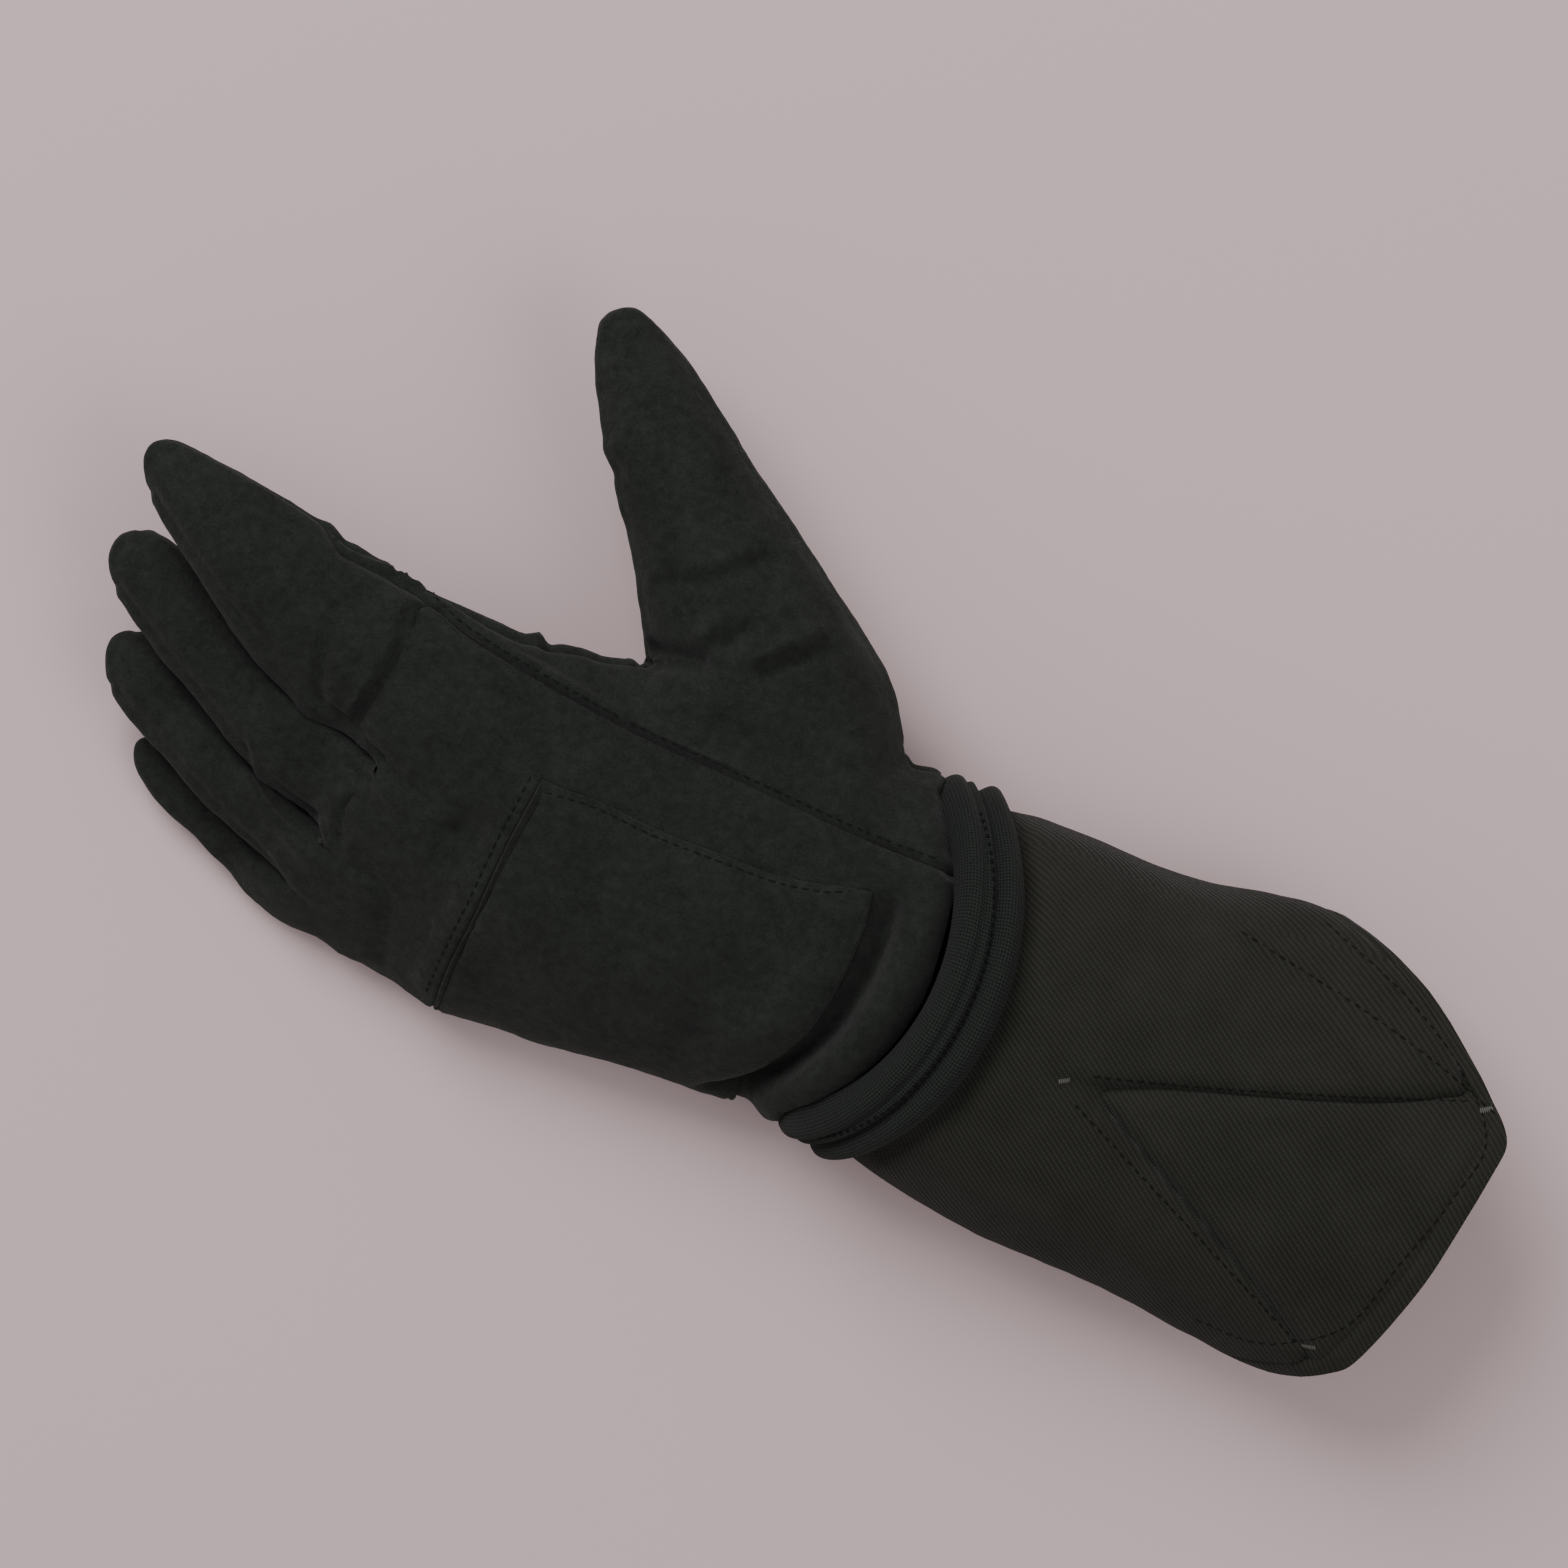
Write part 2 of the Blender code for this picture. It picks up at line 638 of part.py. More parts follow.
def add_cuff(skin):
    """Adds the cuff, its gusset and its hem."""
    rows = add_cuff_lines(skin)
    count = len(rows[0])
    for line in range(len(rows) - 1):
        now, later = gusset_edges(line), gusset_edges(line + 1)
        for column in range(count):
            after = (column + 1) % count
            a, b = rows[line][column], rows[line][after]
            c, d = rows[line + 1][after], rows[line + 1][column]
            if line >= HEM_LINE:
                skin.add_face((a, b, c, d), "cuff_hem")
            elif now is None or column < later[0] or column >= later[1]:
                skin.add_face((a, b, c, d), "cuff_panel")
            elif column < now[0]:
                skin.add_face((a, b, d), "cuff_panel")
                skin.add_face((b, c, d), "cuff_gusset")
            elif column >= now[1]:
                skin.add_face((a, c, d), "cuff_gusset")
                skin.add_face((a, b, c), "cuff_panel")
            else:
                skin.add_face((a, b, c, d), "cuff_gusset")


def add_band(skin):
    """Adds the elastic band, whose ridges run round the wrist between the hand and the cuff."""
    angles = hand_angles(HAND_SECTIONS[0])
    rows = []
    for line, (share, rise) in enumerate(BAND_PROFILE):
        size = (BAND_CENTRE * WRIST_WIDTH, BAND_LEVEL * WRIST_DEPTH,
                WRIST_WIDTH / 2 + rise * BAND_HEIGHT, WRIST_DEPTH / 2 + rise * BAND_HEIGHT, BAND_ROLL)
        row = []
        for angle in angles:
            x = BAND_START + share * BAND_WIDTH + BAND_REACH * PALM_WIDTH * reach_at(angle)
            row.append(skin.add_point(section_point(x, angle, size, HAND_ROUNDNESS)))
        rows.append(row)
    count = len(angles)
    for line in range(len(rows) - 1):
        for column in range(count):
            after = (column + 1) % count
            skin.add_face((rows[line][column], rows[line][after],
                           rows[line + 1][after], rows[line + 1][column]), "wrist_band")


def border_of(faces):
    """Returns the edges that only one of the faces has, each in that face's own direction."""
    edges = {}
    for face in faces:
        for start, end in zip(face, (*face[1:], face[0])):
            edges[start, end] = True
    return [edge for edge in edges if (edge[1], edge[0]) not in edges]


def split_faces(points, faces):
    """Returns the faces as triangles, each four-sided one split along its shorter diagonal."""
    triangles = []
    for face in faces:
        if len(face) == 3:
            triangles.append(face)
            continue
        a, b, c, d = face
        if np.linalg.norm(points[a] - points[c]) < np.linalg.norm(points[b] - points[d]):
            triangles += [(a, b, c), (a, c, d)]
        else:
            triangles += [(b, c, d), (b, d, a)]
    return triangles


def panel_mesh(points, normals, faces, outside, inside):
    """Returns the points and faces of a panel of cloth.

    It lies from outside to inside its surface, and stops just short of its border.
    """
    faces = split_faces(points, faces)
    border = border_of(faces)
    pull = np.zeros_like(points)
    for start, end in border:
        edge = points[end] - points[start]
        for corner in (start, end):
            inward = np.cross(normals[corner], edge)
            pull[corner] += inward / np.linalg.norm(inward)
    lengths = np.linalg.norm(pull, axis=1)
    pull = pull / np.maximum(lengths, 1e-12)[:, None] * SEAM_PULL
    used = sorted({corner for face in faces for corner in face})
    place = {number: order for order, number in enumerate(used)}
    base = points[used] + pull[used]
    base[:, 2] = np.maximum(base[:, 2], 0.0)
    outer = base + normals[used] * outside
    inner = base - normals[used] * inside
    total = len(used)
    solid = [tuple(place[corner] for corner in face) for face in faces]
    solid += [tuple(place[corner] + total for corner in reversed(face)) for face in faces]
    solid += [(place[b], place[a], place[a] + total, place[b] + total) for a, b in border]
    return np.vstack((outer, inner)), solid


def add_object(name, points, faces, finish):
    """Adds a named object made of those points and faces."""
    mesh = bpy.data.meshes.new(name)
    mesh.from_pydata([tuple(point) for point in points], [], faces)
    mesh.update()
    mesh.shade_smooth()
    mesh.set_sharp_from_angle(angle=math.radians(SHARP_ANGLE))
    mesh.materials.append(material_of(finish))
    obj = bpy.data.objects.new(name, mesh)
    bpy.context.scene.collection.objects.link(obj)
    return obj


def add_panels(skin, finish, wall):
    """Adds each panel of a skin as its own object."""
    points, normals = skin.normals()
    for name in sorted(set(skin.panels)):
        faces = [face for face, panel in zip(skin.faces, skin.panels) if panel == name]
        add_object(name, *panel_mesh(points, normals, faces, 0.0, wall), finish)


def add_patch(skin, rows):
    """Adds the patch that is sewn over the heel of the palm."""
    points, normals = skin.normals()
    last_column = FRONT_LINES - 1 + DOWN // 2
    faces = []
    for line in range(PATCH_START, PATCH_END):
        for column in range(PATCH_COLUMN, last_column):
            faces.append((rows[line + 1][column], rows[line + 1][column + 1],
                          rows[line][column + 1], rows[line][column]))
    mesh = panel_mesh(points, normals, faces, PATCH_GAP + PATCH_WALL, -PATCH_GAP)
    add_object("palm_patch", *mesh, SUEDE)


def stand_on_ground():
    """Moves everything so that the middle of the underside of its box is the origin."""
    objects = list(bpy.context.scene.objects)
    corners = np.array([vertex.co for obj in objects for vertex in obj.data.vertices])
    low, high = corners.min(axis=0), corners.max(axis=0)
    shift = Vector(((low[0] + high[0]) / -2, (low[1] + high[1]) / -2, -low[2]))
    for obj in objects:
        obj.data.transform(Matrix.Translation(shift))


def build():
    """Builds the whole glove."""
    clear_scene()
    hand = Skin(reverse=True)
    rows = add_hand_lines(hand)
    add_hand_faces(hand, rows)
    add_fingers(hand, rows[-1])
    add_thumb(hand, rows)
    add_panels(hand, SUEDE, HAND_WALL)
    add_patch(hand, rows)
    band = Skin()
    add_band(band)
    add_panels(band, ELASTIC, BAND_WALL)
    cuff = Skin()
    add_cuff(cuff)
    add_panels(cuff, TWILL, CUFF_WALL)
    stand_on_ground()


build()
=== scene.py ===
"""Dresses a black fencing glove that lies palm up: a sewn suede hand, a ribbed elastic wrist band and a
long twill cuff with a gusset.

Each cloth surface starts as a cage of sections, is subdivided, gets its folds, creases and sunk seams,
and is then cut into its panels, each with its own wall. Stitches are laid along paths on the cloth.

The glove is drawn with the middle of its wrist seam at x = 0 and y = 0, and moved to the frame's place
as a whole: +X runs up the forearm, +Y is the thumb's side and +Z the palm's. Lengths are in metres, and
the paths of folds and stitches in millimetres.
"""

import logging
import math
from dataclasses import dataclass, fields
from enum import IntEnum
from typing import Callable, ClassVar, Sequence

import bpy
import numpy as np
from mathutils import Matrix, Vector
from mathutils.bvhtree import BVHTree
from mathutils.kdtree import KDTree


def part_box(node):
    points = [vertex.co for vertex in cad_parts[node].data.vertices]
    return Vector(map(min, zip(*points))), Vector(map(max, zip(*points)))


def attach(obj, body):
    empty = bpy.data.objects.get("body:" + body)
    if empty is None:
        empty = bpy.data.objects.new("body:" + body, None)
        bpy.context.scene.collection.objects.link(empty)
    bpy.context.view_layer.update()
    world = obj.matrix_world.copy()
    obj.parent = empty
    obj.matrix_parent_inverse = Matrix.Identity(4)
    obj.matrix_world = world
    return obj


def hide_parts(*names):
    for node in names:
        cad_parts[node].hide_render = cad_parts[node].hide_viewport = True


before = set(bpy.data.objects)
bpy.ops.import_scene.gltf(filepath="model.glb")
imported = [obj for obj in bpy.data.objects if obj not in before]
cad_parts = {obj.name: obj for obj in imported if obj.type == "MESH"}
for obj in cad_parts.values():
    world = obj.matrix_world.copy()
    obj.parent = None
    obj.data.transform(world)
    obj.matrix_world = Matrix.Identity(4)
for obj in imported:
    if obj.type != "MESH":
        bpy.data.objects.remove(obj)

MM = 0.001
BODY = "root"
CLOTH_MAP = "cloth"

Colour = tuple[float, float, float]
Path = tuple[tuple[float, float], ...]
log = logging.getLogger("glove")


class Panel(IntEnum):
    """The pieces of cloth, with the number that marks their faces."""

    PALM = 0
    BACK = 1
    STRIP_1 = 2
    STRIP_2 = 3
    STRIP_3 = 4
    THUMB_FRONT = 5
    THUMB_BACK = 6
    BAND = 7
    CUFF = 8
    GUSSET = 9
    HEM = 10
    INDEX = 11


PATCH_MARK = 32


@dataclass(frozen=True)
class Row:
    """One section across the hand or the cuff, in shares of their sizes."""

    along: float
    centre: float
    half_width: float
    half_depth: float
    height: float
    roll: float
    reach: float
    seam: float = 0.0
    patch: float = 0.0


@dataclass(frozen=True)
class Digit:
    """One section across a finger or the thumb, in shares of the hand's sizes."""

    along: float
    across: float
    height: float
    half_width: float
    half_depth: float
    roll: float


def with_ends(points: np.ndarray) -> np.ndarray:
    """Returns a row of points with one more beyond each end."""
    return np.vstack((2 * points[0] - points[1], points, 2 * points[-1] - points[-2]))


def between(four: np.ndarray, t: float | np.ndarray) -> np.ndarray:
    """Returns where a smooth curve through four points runs between the middle two.

    Args:
        four: The points.
        t: How far to go from the second to the third, from 0 to 1.

    Returns:
        The place, or a row for each value of t.
    """
    before, low, high, after = four
    return 0.5 * (2 * low + (high - before) * t + (2 * before - 5 * low + 4 * high - after) * t ** 2
                  + (3 * low - before - 3 * high + after) * t ** 3)


def smooth_rows(rows: Sequence, steps: Sequence[int]) -> list:
    """Adds rows between the given ones along a smooth curve through their values.

    Args:
        rows: Dataclass rows that hold numbers only.
        steps: How many parts to cut the stretch after each row into, one number fewer than rows.

    Returns:
        The rows with those between them.
    """
    names = [item.name for item in fields(rows[0])]
    table = with_ends(np.array([[getattr(row, name) for name in names] for row in rows]))
    result = [type(rows[0])(*between(table[start:start + 4], step / count))
              for start, count in enumerate(steps) for step in range(count)]
    return [*result, rows[-1]]


def smooth_step(value: np.ndarray, low: float, high: float) -> np.ndarray:
    """Returns how far value is from low to high, from 0 to 1 with soft ends."""
    t = np.clip((value - low) / (high - low), 0.0, 1.0)
    return t * t * (3 - 2 * t)


def signed_power(value: float, power: float) -> float:
    """Returns value raised to power, keeping its sign."""
    return math.copysign(abs(value) ** power, value)


def share_to_angle(share: float) -> float:
    """Returns the angle round a section at which that share of its width lies."""
    return math.acos(1.0 - 2.0 * share)


def section_angles(front_shares: Sequence[float], back_shares: Sequence[float], down: int) -> list[float]:
    """Returns the angles of the lines round a section, from the thumb's side over the palm.

    Args:
        front_shares: Shares of the width at which the palm side's lines lie.
        back_shares: The same for the back of the hand.
        down: How many faces lie down each side.

    Returns:
        The angles in radians, rising.
    """
    front = [share_to_angle(share) for share in front_shares]
    back = [-share_to_angle(share) for share in back_shares]
    far_side = np.linspace(front[-1], 2 * math.pi + back[-1], down + 1)[1:-1]
    near_side = np.linspace(back[0], front[0], down + 1)[1:-1]
    return [*front, *far_side, *reversed(back), *near_side]


def rim_reach(angle: float) -> float:
    """Returns the share of its reach that a rim round the wrist has there, most over the palm."""
    return max(math.sin(angle), 0.0) ** 1.5


def turned_place(centre: float, height: float, out: float, up: float, turn: float) -> tuple[float, float]:
    """Returns the y and z of a point of a section that is turned about its middle.

    Args:
        centre: The y of the section's middle.
        height: The z of its middle.
        out: How far the point lies along the section's width.
        up: How far it lies along its depth.
        turn: How far the section is turned, in radians.

    Returns:
        The point's y and z.
    """
    return (centre + out * math.cos(turn) - up * math.sin(turn),
            height + out * math.sin(turn) + up * math.cos(turn))


def oval(middle: np.ndarray, wide: np.ndarray, up: np.ndarray, first: float, count: int) -> np.ndarray:
    """Returns points evenly round an oval.

    Args:
        middle: Its middle.
        wide: From its middle to its side.
        up: From its middle to its top.
        first: The angle of the first point, in radians.
        count: How many points to return.

    Returns:
        A row for each point.
    """
    angles = first + 2 * math.pi * np.arange(count) / count
    return middle + np.cos(angles)[:, None] * wide + np.sin(angles)[:, None] * up


def quad(before: Sequence, after: Sequence, column: int) -> tuple:
    """Returns what two closed lines hold at the corners of the face between them in a column."""
    following = (column + 1) % len(before)
    return before[column], before[following], after[following], after[column]


def curve_through(points: Path, gap: float) -> np.ndarray:
    """Returns points close together on a smooth curve through the given ones.

    Args:
        points: The points that it passes.
        gap: Roughly how far apart the result's points lie.

    Returns:
        An array with a row for each point.
    """
    path = np.array(points, float)
    if len(path) == 2:
        count = max(2, int(np.linalg.norm(path[1] - path[0]) / gap))
        return path[0] + (path[1] - path[0]) * np.linspace(0, 1, count)[:, None]
    table = with_ends(path)
    result = []
    for start in range(len(path) - 1):
        count = max(1, int(np.linalg.norm(path[start + 1] - path[start]) / gap))
        result.append(between(table[start:start + 4], np.arange(count)[:, None] / count))
    return np.vstack((*result, path[-1:]))


# PATH_GAP: between the points by which a fold's path is followed. STEP_EDGE: how wide the face of its
# step is. END_REACH: how far it goes on past its path's ends. All in millimetres.
PATH_GAP = 0.6
STEP_EDGE = 0.35
END_REACH = 0.6
# END_SHARE: the share of its width that it goes on as well. FOLD_CHUNK: places worked out at a time.
END_SHARE = 0.6
FOLD_CHUNK = 4000


@dataclass(frozen=True)
class Fold:
    """A crease, ridge or edge that follows a path over the palm's side of the cloth.

    Lengths are in millimetres. height: of the ridge along the path, or of the groove if it is below 0.
    width: half of the ridge's width. step: how much higher the cloth on the path's left stands.
    fade: how far that fades out. shift: how far to the path's left the ridge lies.
    ends: how far the fold rises or sinks away at each end.
    """

    path: Path
    height: float = 0.0
    width: float = 1.5
    step: float = 0.0
    fade: float = 5.0
    shift: float = 0.0
    ends: float = 6.0

    def heights(self, places: np.ndarray) -> np.ndarray:
        """Returns how far it lifts each place, in metres.

        Args:
            places: The x and y of each place, in metres.

        Returns:
            One height for each place.
        """
        line = curve_through(self.path, PATH_GAP)
        spread = 3.0 * self.width + abs(self.shift) + (4.0 * self.fade if self.step else 0.0)
        spots = places / MM
        near = np.all((spots > line.min(axis=0) - spread) & (spots < line.max(axis=0) + spread), axis=1)
        lifts = np.zeros(len(places))
        inside = np.flatnonzero(near)
        if not len(inside):
            return lifts
        tangents = np.gradient(line, axis=0)
        tangents /= np.linalg.norm(tangents, axis=1)[:, None]
        run = np.concatenate(([0.0], np.cumsum(np.linalg.norm(np.diff(line, axis=0), axis=1))))
        spots = spots[inside]
        nearest = np.concatenate([
            np.argmin(((part[:, None] - line[None]) ** 2).sum(axis=2), axis=1)
            for part in np.array_split(spots, max(1, len(spots) // FOLD_CHUNK))])
        away = spots - line[nearest]
        way = tangents[nearest]
        side = way[:, 0] * away[:, 1] - way[:, 1] * away[:, 0]
        past = np.abs((way * away).sum(axis=1))
        keep = np.exp(-(past / (END_SHARE * self.width + END_REACH)) ** 2)
        keep *= (smooth_step(run[nearest], -0.01, self.ends)
                 * smooth_step(run[-1] - run[nearest], -0.01, self.ends))
        lift = self.height * np.exp(-((side - self.shift) / self.width) ** 2)
        if self.step:
            lift += (self.step * 0.5 * (1 + np.tanh(side / STEP_EDGE))
                     * np.exp(-np.maximum(side, 0) / self.fade))
        lifts[inside] = lift * keep * MM
        return lifts


@dataclass(frozen=True)
class Bump:
    """A round swelling or hollow, in millimetres, near a point of the cloth."""

    place: tuple[float, float]
    height: float
    width: float

    def heights(self, places: np.ndarray) -> np.ndarray:
        """Returns how far it lifts each place, in metres.

        Args:
            places: The x and y of each place, in metres.

        Returns:
            One height for each place.
        """
        away = ((places / MM - np.array(self.place)) ** 2).sum(axis=1)
        return self.height * MM * np.exp(-away / self.width ** 2)


@dataclass(frozen=True)
class Waves:
    """Soft irregular waves all over the cloth.

    height: roughly how high they are. size: roughly how far apart they lie. Both are in millimetres.
    """

    height: float
    size: float
    seed: int
    count: int = 28
    spread: tuple[float, float] = (0.6, 1.8)

    def heights(self, points: np.ndarray) -> np.ndarray:
        """Returns how far they lift each point.

        Args:
            points: The places, in metres.

        Returns:
            One height for each point, in millimetres.
        """
        random = np.random.default_rng(self.seed)
        ways = random.normal(size=(self.count, 3))
        ways /= np.linalg.norm(ways, axis=1)[:, None]
        turns = 2 * math.pi / (self.size * MM * random.uniform(*self.spread, self.count))
        phases = random.uniform(0, 2 * math.pi, self.count)
        waves = np.cos(points @ (ways * turns[:, None]).T + phases).sum(axis=1)
        return self.height * (waves / math.sqrt(self.count))


@dataclass(frozen=True)
class SeamLine:
    """A soft ridge along a seam, or a groove if its height is below 0. Lengths are in millimetres.

    away: how far from the seam it runs.
    """

    height: float
    width: float
    away: float = 0.0

    def heights(self, distances: np.ndarray) -> np.ndarray:
        """Returns how far it lifts points that lie that far from the seam."""
        return self.height * np.exp(-((distances - self.away) / self.width) ** 2)


class Cloth:
    """A fine surface of four-sided faces, each marked with its panel."""

    def __init__(self, mesh: bpy.types.Mesh) -> None:
        """Reads a mesh.

        Args:
            mesh: A mesh of four-sided faces, whose material numbers are the panels' numbers.
        """
        count = len(mesh.vertices)
        self.points = np.zeros(count * 3)
        mesh.vertices.foreach_get("co", self.points)
        self.points = self.points.reshape(-1, 3)
        self.faces = np.zeros(len(mesh.loops), int)
        mesh.loops.foreach_get("vertex_index", self.faces)
        self.faces = self.faces.reshape(-1, 4)
        self.marks = np.zeros(len(mesh.polygons), int)
        mesh.polygons.foreach_get("material_index", self.marks)
        self.uvs = np.zeros(len(mesh.loops) * 2)
        mesh.uv_layers[0].data.foreach_get("uv", self.uvs)
        self.uvs = self.uvs.reshape(-1, 4, 2)

    @property
    def panels(self) -> np.ndarray:
        """The number of each face's panel."""
        return self.marks % PATCH_MARK

    def normals(self) -> np.ndarray:
        """Works out which way the cloth faces.

        Returns:
            Each point's outward normal.
        """
        corners = self.points[self.faces]
        across = np.cross(corners[:, 2] - corners[:, 0], corners[:, 3] - corners[:, 1])
        normals = np.zeros_like(self.points)
        for corner in range(4):
            np.add.at(normals, self.faces[:, corner], across)
        return normals / np.maximum(np.linalg.norm(normals, axis=1), 1e-15)[:, None]

    def lift(self, heights: np.ndarray) -> None:
        """Moves each point outwards by its height, in metres, but not under the floor."""
        self.points += self.normals() * heights[:, None]
        self.points[:, 2] = np.maximum(self.points[:, 2], 0.0)

    def fold_heights(self, folds: Sequence[Fold | Bump]) -> np.ndarray:
        """Works out how far folds and bumps lift the side of the cloth that faces up.

        Args:
            folds: The folds and bumps.

        Returns:
            One height for each point, in metres.
        """
        upward = smooth_step(self.normals()[:, 2], 0.0, 0.35)
        return sum(fold.heights(self.points[:, :2]) for fold in folds) * upward

    def wave_heights(self, waves: Sequence[Waves]) -> np.ndarray:
        """Works out how far waves lift the cloth, which fade out where it lies on the floor.

        Args:
            waves: The waves.

        Returns:
            One height for each point, in metres.
        """
        free = smooth_step(self.points[:, 2], 0.0, 4 * MM)
        return free * sum(wave.heights(self.points) for wave in waves) * MM

    def edges(self) -> dict[tuple[int, int], list[int]]:
        """Finds what lies beside each edge.

        Returns:
            The numbers of the faces beside each edge, by the edge's two points.
        """
        edges: dict[tuple[int, int], list[int]] = {}
        for number, face in enumerate(self.faces.tolist()):
            for start, end in zip(face, (*face[1:], face[0])):
                edges.setdefault((min(start, end), max(start, end)), []).append(number)
        return edges

    def distances(self, is_border: Callable[[int, int], bool], limit: float) -> np.ndarray:
        """Returns how far each point lies from the borders between some faces.

        Args:
            is_border: Says whether the edge between faces with these two marks is a border.
            limit: The farthest distance that is told apart, in millimetres.

        Returns:
            One distance for each point, in millimetres.
        """
        marks = self.marks.tolist()
        on_border = {point for edge, faces in self.edges().items() if len(faces) == 2
                     and marks[faces[0]] != marks[faces[1]]
                     and is_border(marks[faces[0]], marks[faces[1]]) for point in edge}
        tree = KDTree(len(on_border))
        for number in on_border:
            tree.insert(self.points[number], number)
        tree.balance()
        if not on_border:
            return np.full(len(self.points), limit)
        return np.array([min(tree.find(point)[2] / MM, limit) for point in self.points])

    def part(self, chosen: np.ndarray) -> tuple[np.ndarray, np.ndarray, np.ndarray]:
        """Returns the points, faces and UVs of some faces, with the points numbered anew.

        Args:
            chosen: True for each face to keep.

        Returns:
            The points' numbers in this cloth, the faces and their UVs.
        """
        faces = self.faces[chosen]
        used, places = np.unique(faces, return_inverse=True)
        return used, places.reshape(faces.shape), self.uvs[chosen]

    def tree(self) -> BVHTree:
        """Returns a tree in which the nearest place on the cloth is looked up."""
        return BVHTree.FromPolygons(self.points.tolist(), self.faces.tolist())


@dataclass(frozen=True)
class Drawn:
    """A path, in millimetres, that the border between some faces is drawn along."""

    path: Path
    marks: tuple[frozenset[int], frozenset[int]]
    low: float = -1000.0
    high: float = 1000.0


# BORDER_GAP: between the points of a drawn path, in mm. LEAST_FACING: how far a point has to face up to be
# drawn. BORDER_SOFTNESS: the higher, the less a point follows its nearest border alone. DROP: how far
# above a point its new place is looked for, in metres. BORDER_CHUNK: points worked out at a time.
BORDER_GAP = 0.5
LEAST_FACING = 0.1
BORDER_SOFTNESS = 0.05
DROP = 0.012
BORDER_CHUNK = 2000
LEAST_MOVE = 1e-6


def draw_borders(cloth: Cloth, drawn: Sequence[Drawn], spread: float = 7.0) -> None:
    """Slides the palm's side of a cloth along itself, so that borders follow their paths.

    Args:
        cloth: The surface.
        drawn: The paths and the borders that they belong to.
        spread: How far the sliding reaches beside a border, in millimetres.
    """
    tree = cloth.tree()
    normals = cloth.normals()
    marks = cloth.marks.tolist()
    moves: dict[int, np.ndarray] = {}
    sides = [(edge, {marks[face] for face in faces}) for edge, faces in cloth.edges().items()
             if len(faces) == 2 and marks[faces[0]] != marks[faces[1]]]
    for item in drawn:
        line = curve_through(item.path, BORDER_GAP)
        for edge, pair in sides:
            if not (pair & item.marks[0] and pair & item.marks[1]):
                continue
            for number in edge:
                spot = cloth.points[number, :2] / MM
                if (number in moves or not item.low <= spot[0] <= item.high
                        or normals[number, 2] < LEAST_FACING):
                    continue
                nearest = int(np.argmin(((line - spot) ** 2).sum(axis=1)))
                if 0 < nearest < len(line) - 1:
                    moves[number] = (line[nearest] - spot) * min(1.0, 3.0 * normals[number, 2])
    numbers = np.array(sorted(moves))
    shifts = np.array([moves[number] for number in numbers])
    anchors = cloth.points[numbers] / MM
    spots = cloth.points / MM
    close = np.flatnonzero(normals[:, 2] > 0.0)
    for part in np.array_split(close, max(1, len(close) // BORDER_CHUNK)):
        squares = ((spots[part][:, None] - anchors[None]) ** 2).sum(axis=2)
        weights = 1.0 / (squares + BORDER_SOFTNESS) ** 2
        slide = (weights[:, :, None] * shifts[None]).sum(axis=1) / weights.sum(axis=1)[:, None]
        slide *= np.exp(-squares.min(axis=1) / spread ** 2)[:, None] * MM
        slide *= smooth_step(normals[part, 2], 0.0, 0.4)[:, None]
        for number, move in zip(part.tolist(), slide):
            if abs(move[0]) + abs(move[1]) < LEAST_MOVE:
                continue
            point = cloth.points[number]
            start = Vector((point[0] + move[0], point[1] + move[1], point[2] + DROP))
            hit = tree.ray_cast(start, Vector((0, 0, -1)), 2 * DROP)
            height = hit[0].z if hit[0] is not None and hit[1].z > 0.05 else point[2]
            cloth.points[number] = (start.x, start.y, height)


def add_object(name: str, data: bpy.types.ID) -> bpy.types.Object:
    """Adds an object to the scene.

    Args:
        name: Its name.
        data: Its mesh, camera or light.

    Returns:
        The object.
    """
    obj = bpy.data.objects.new(name, data)
    bpy.context.scene.collection.objects.link(obj)
    return obj


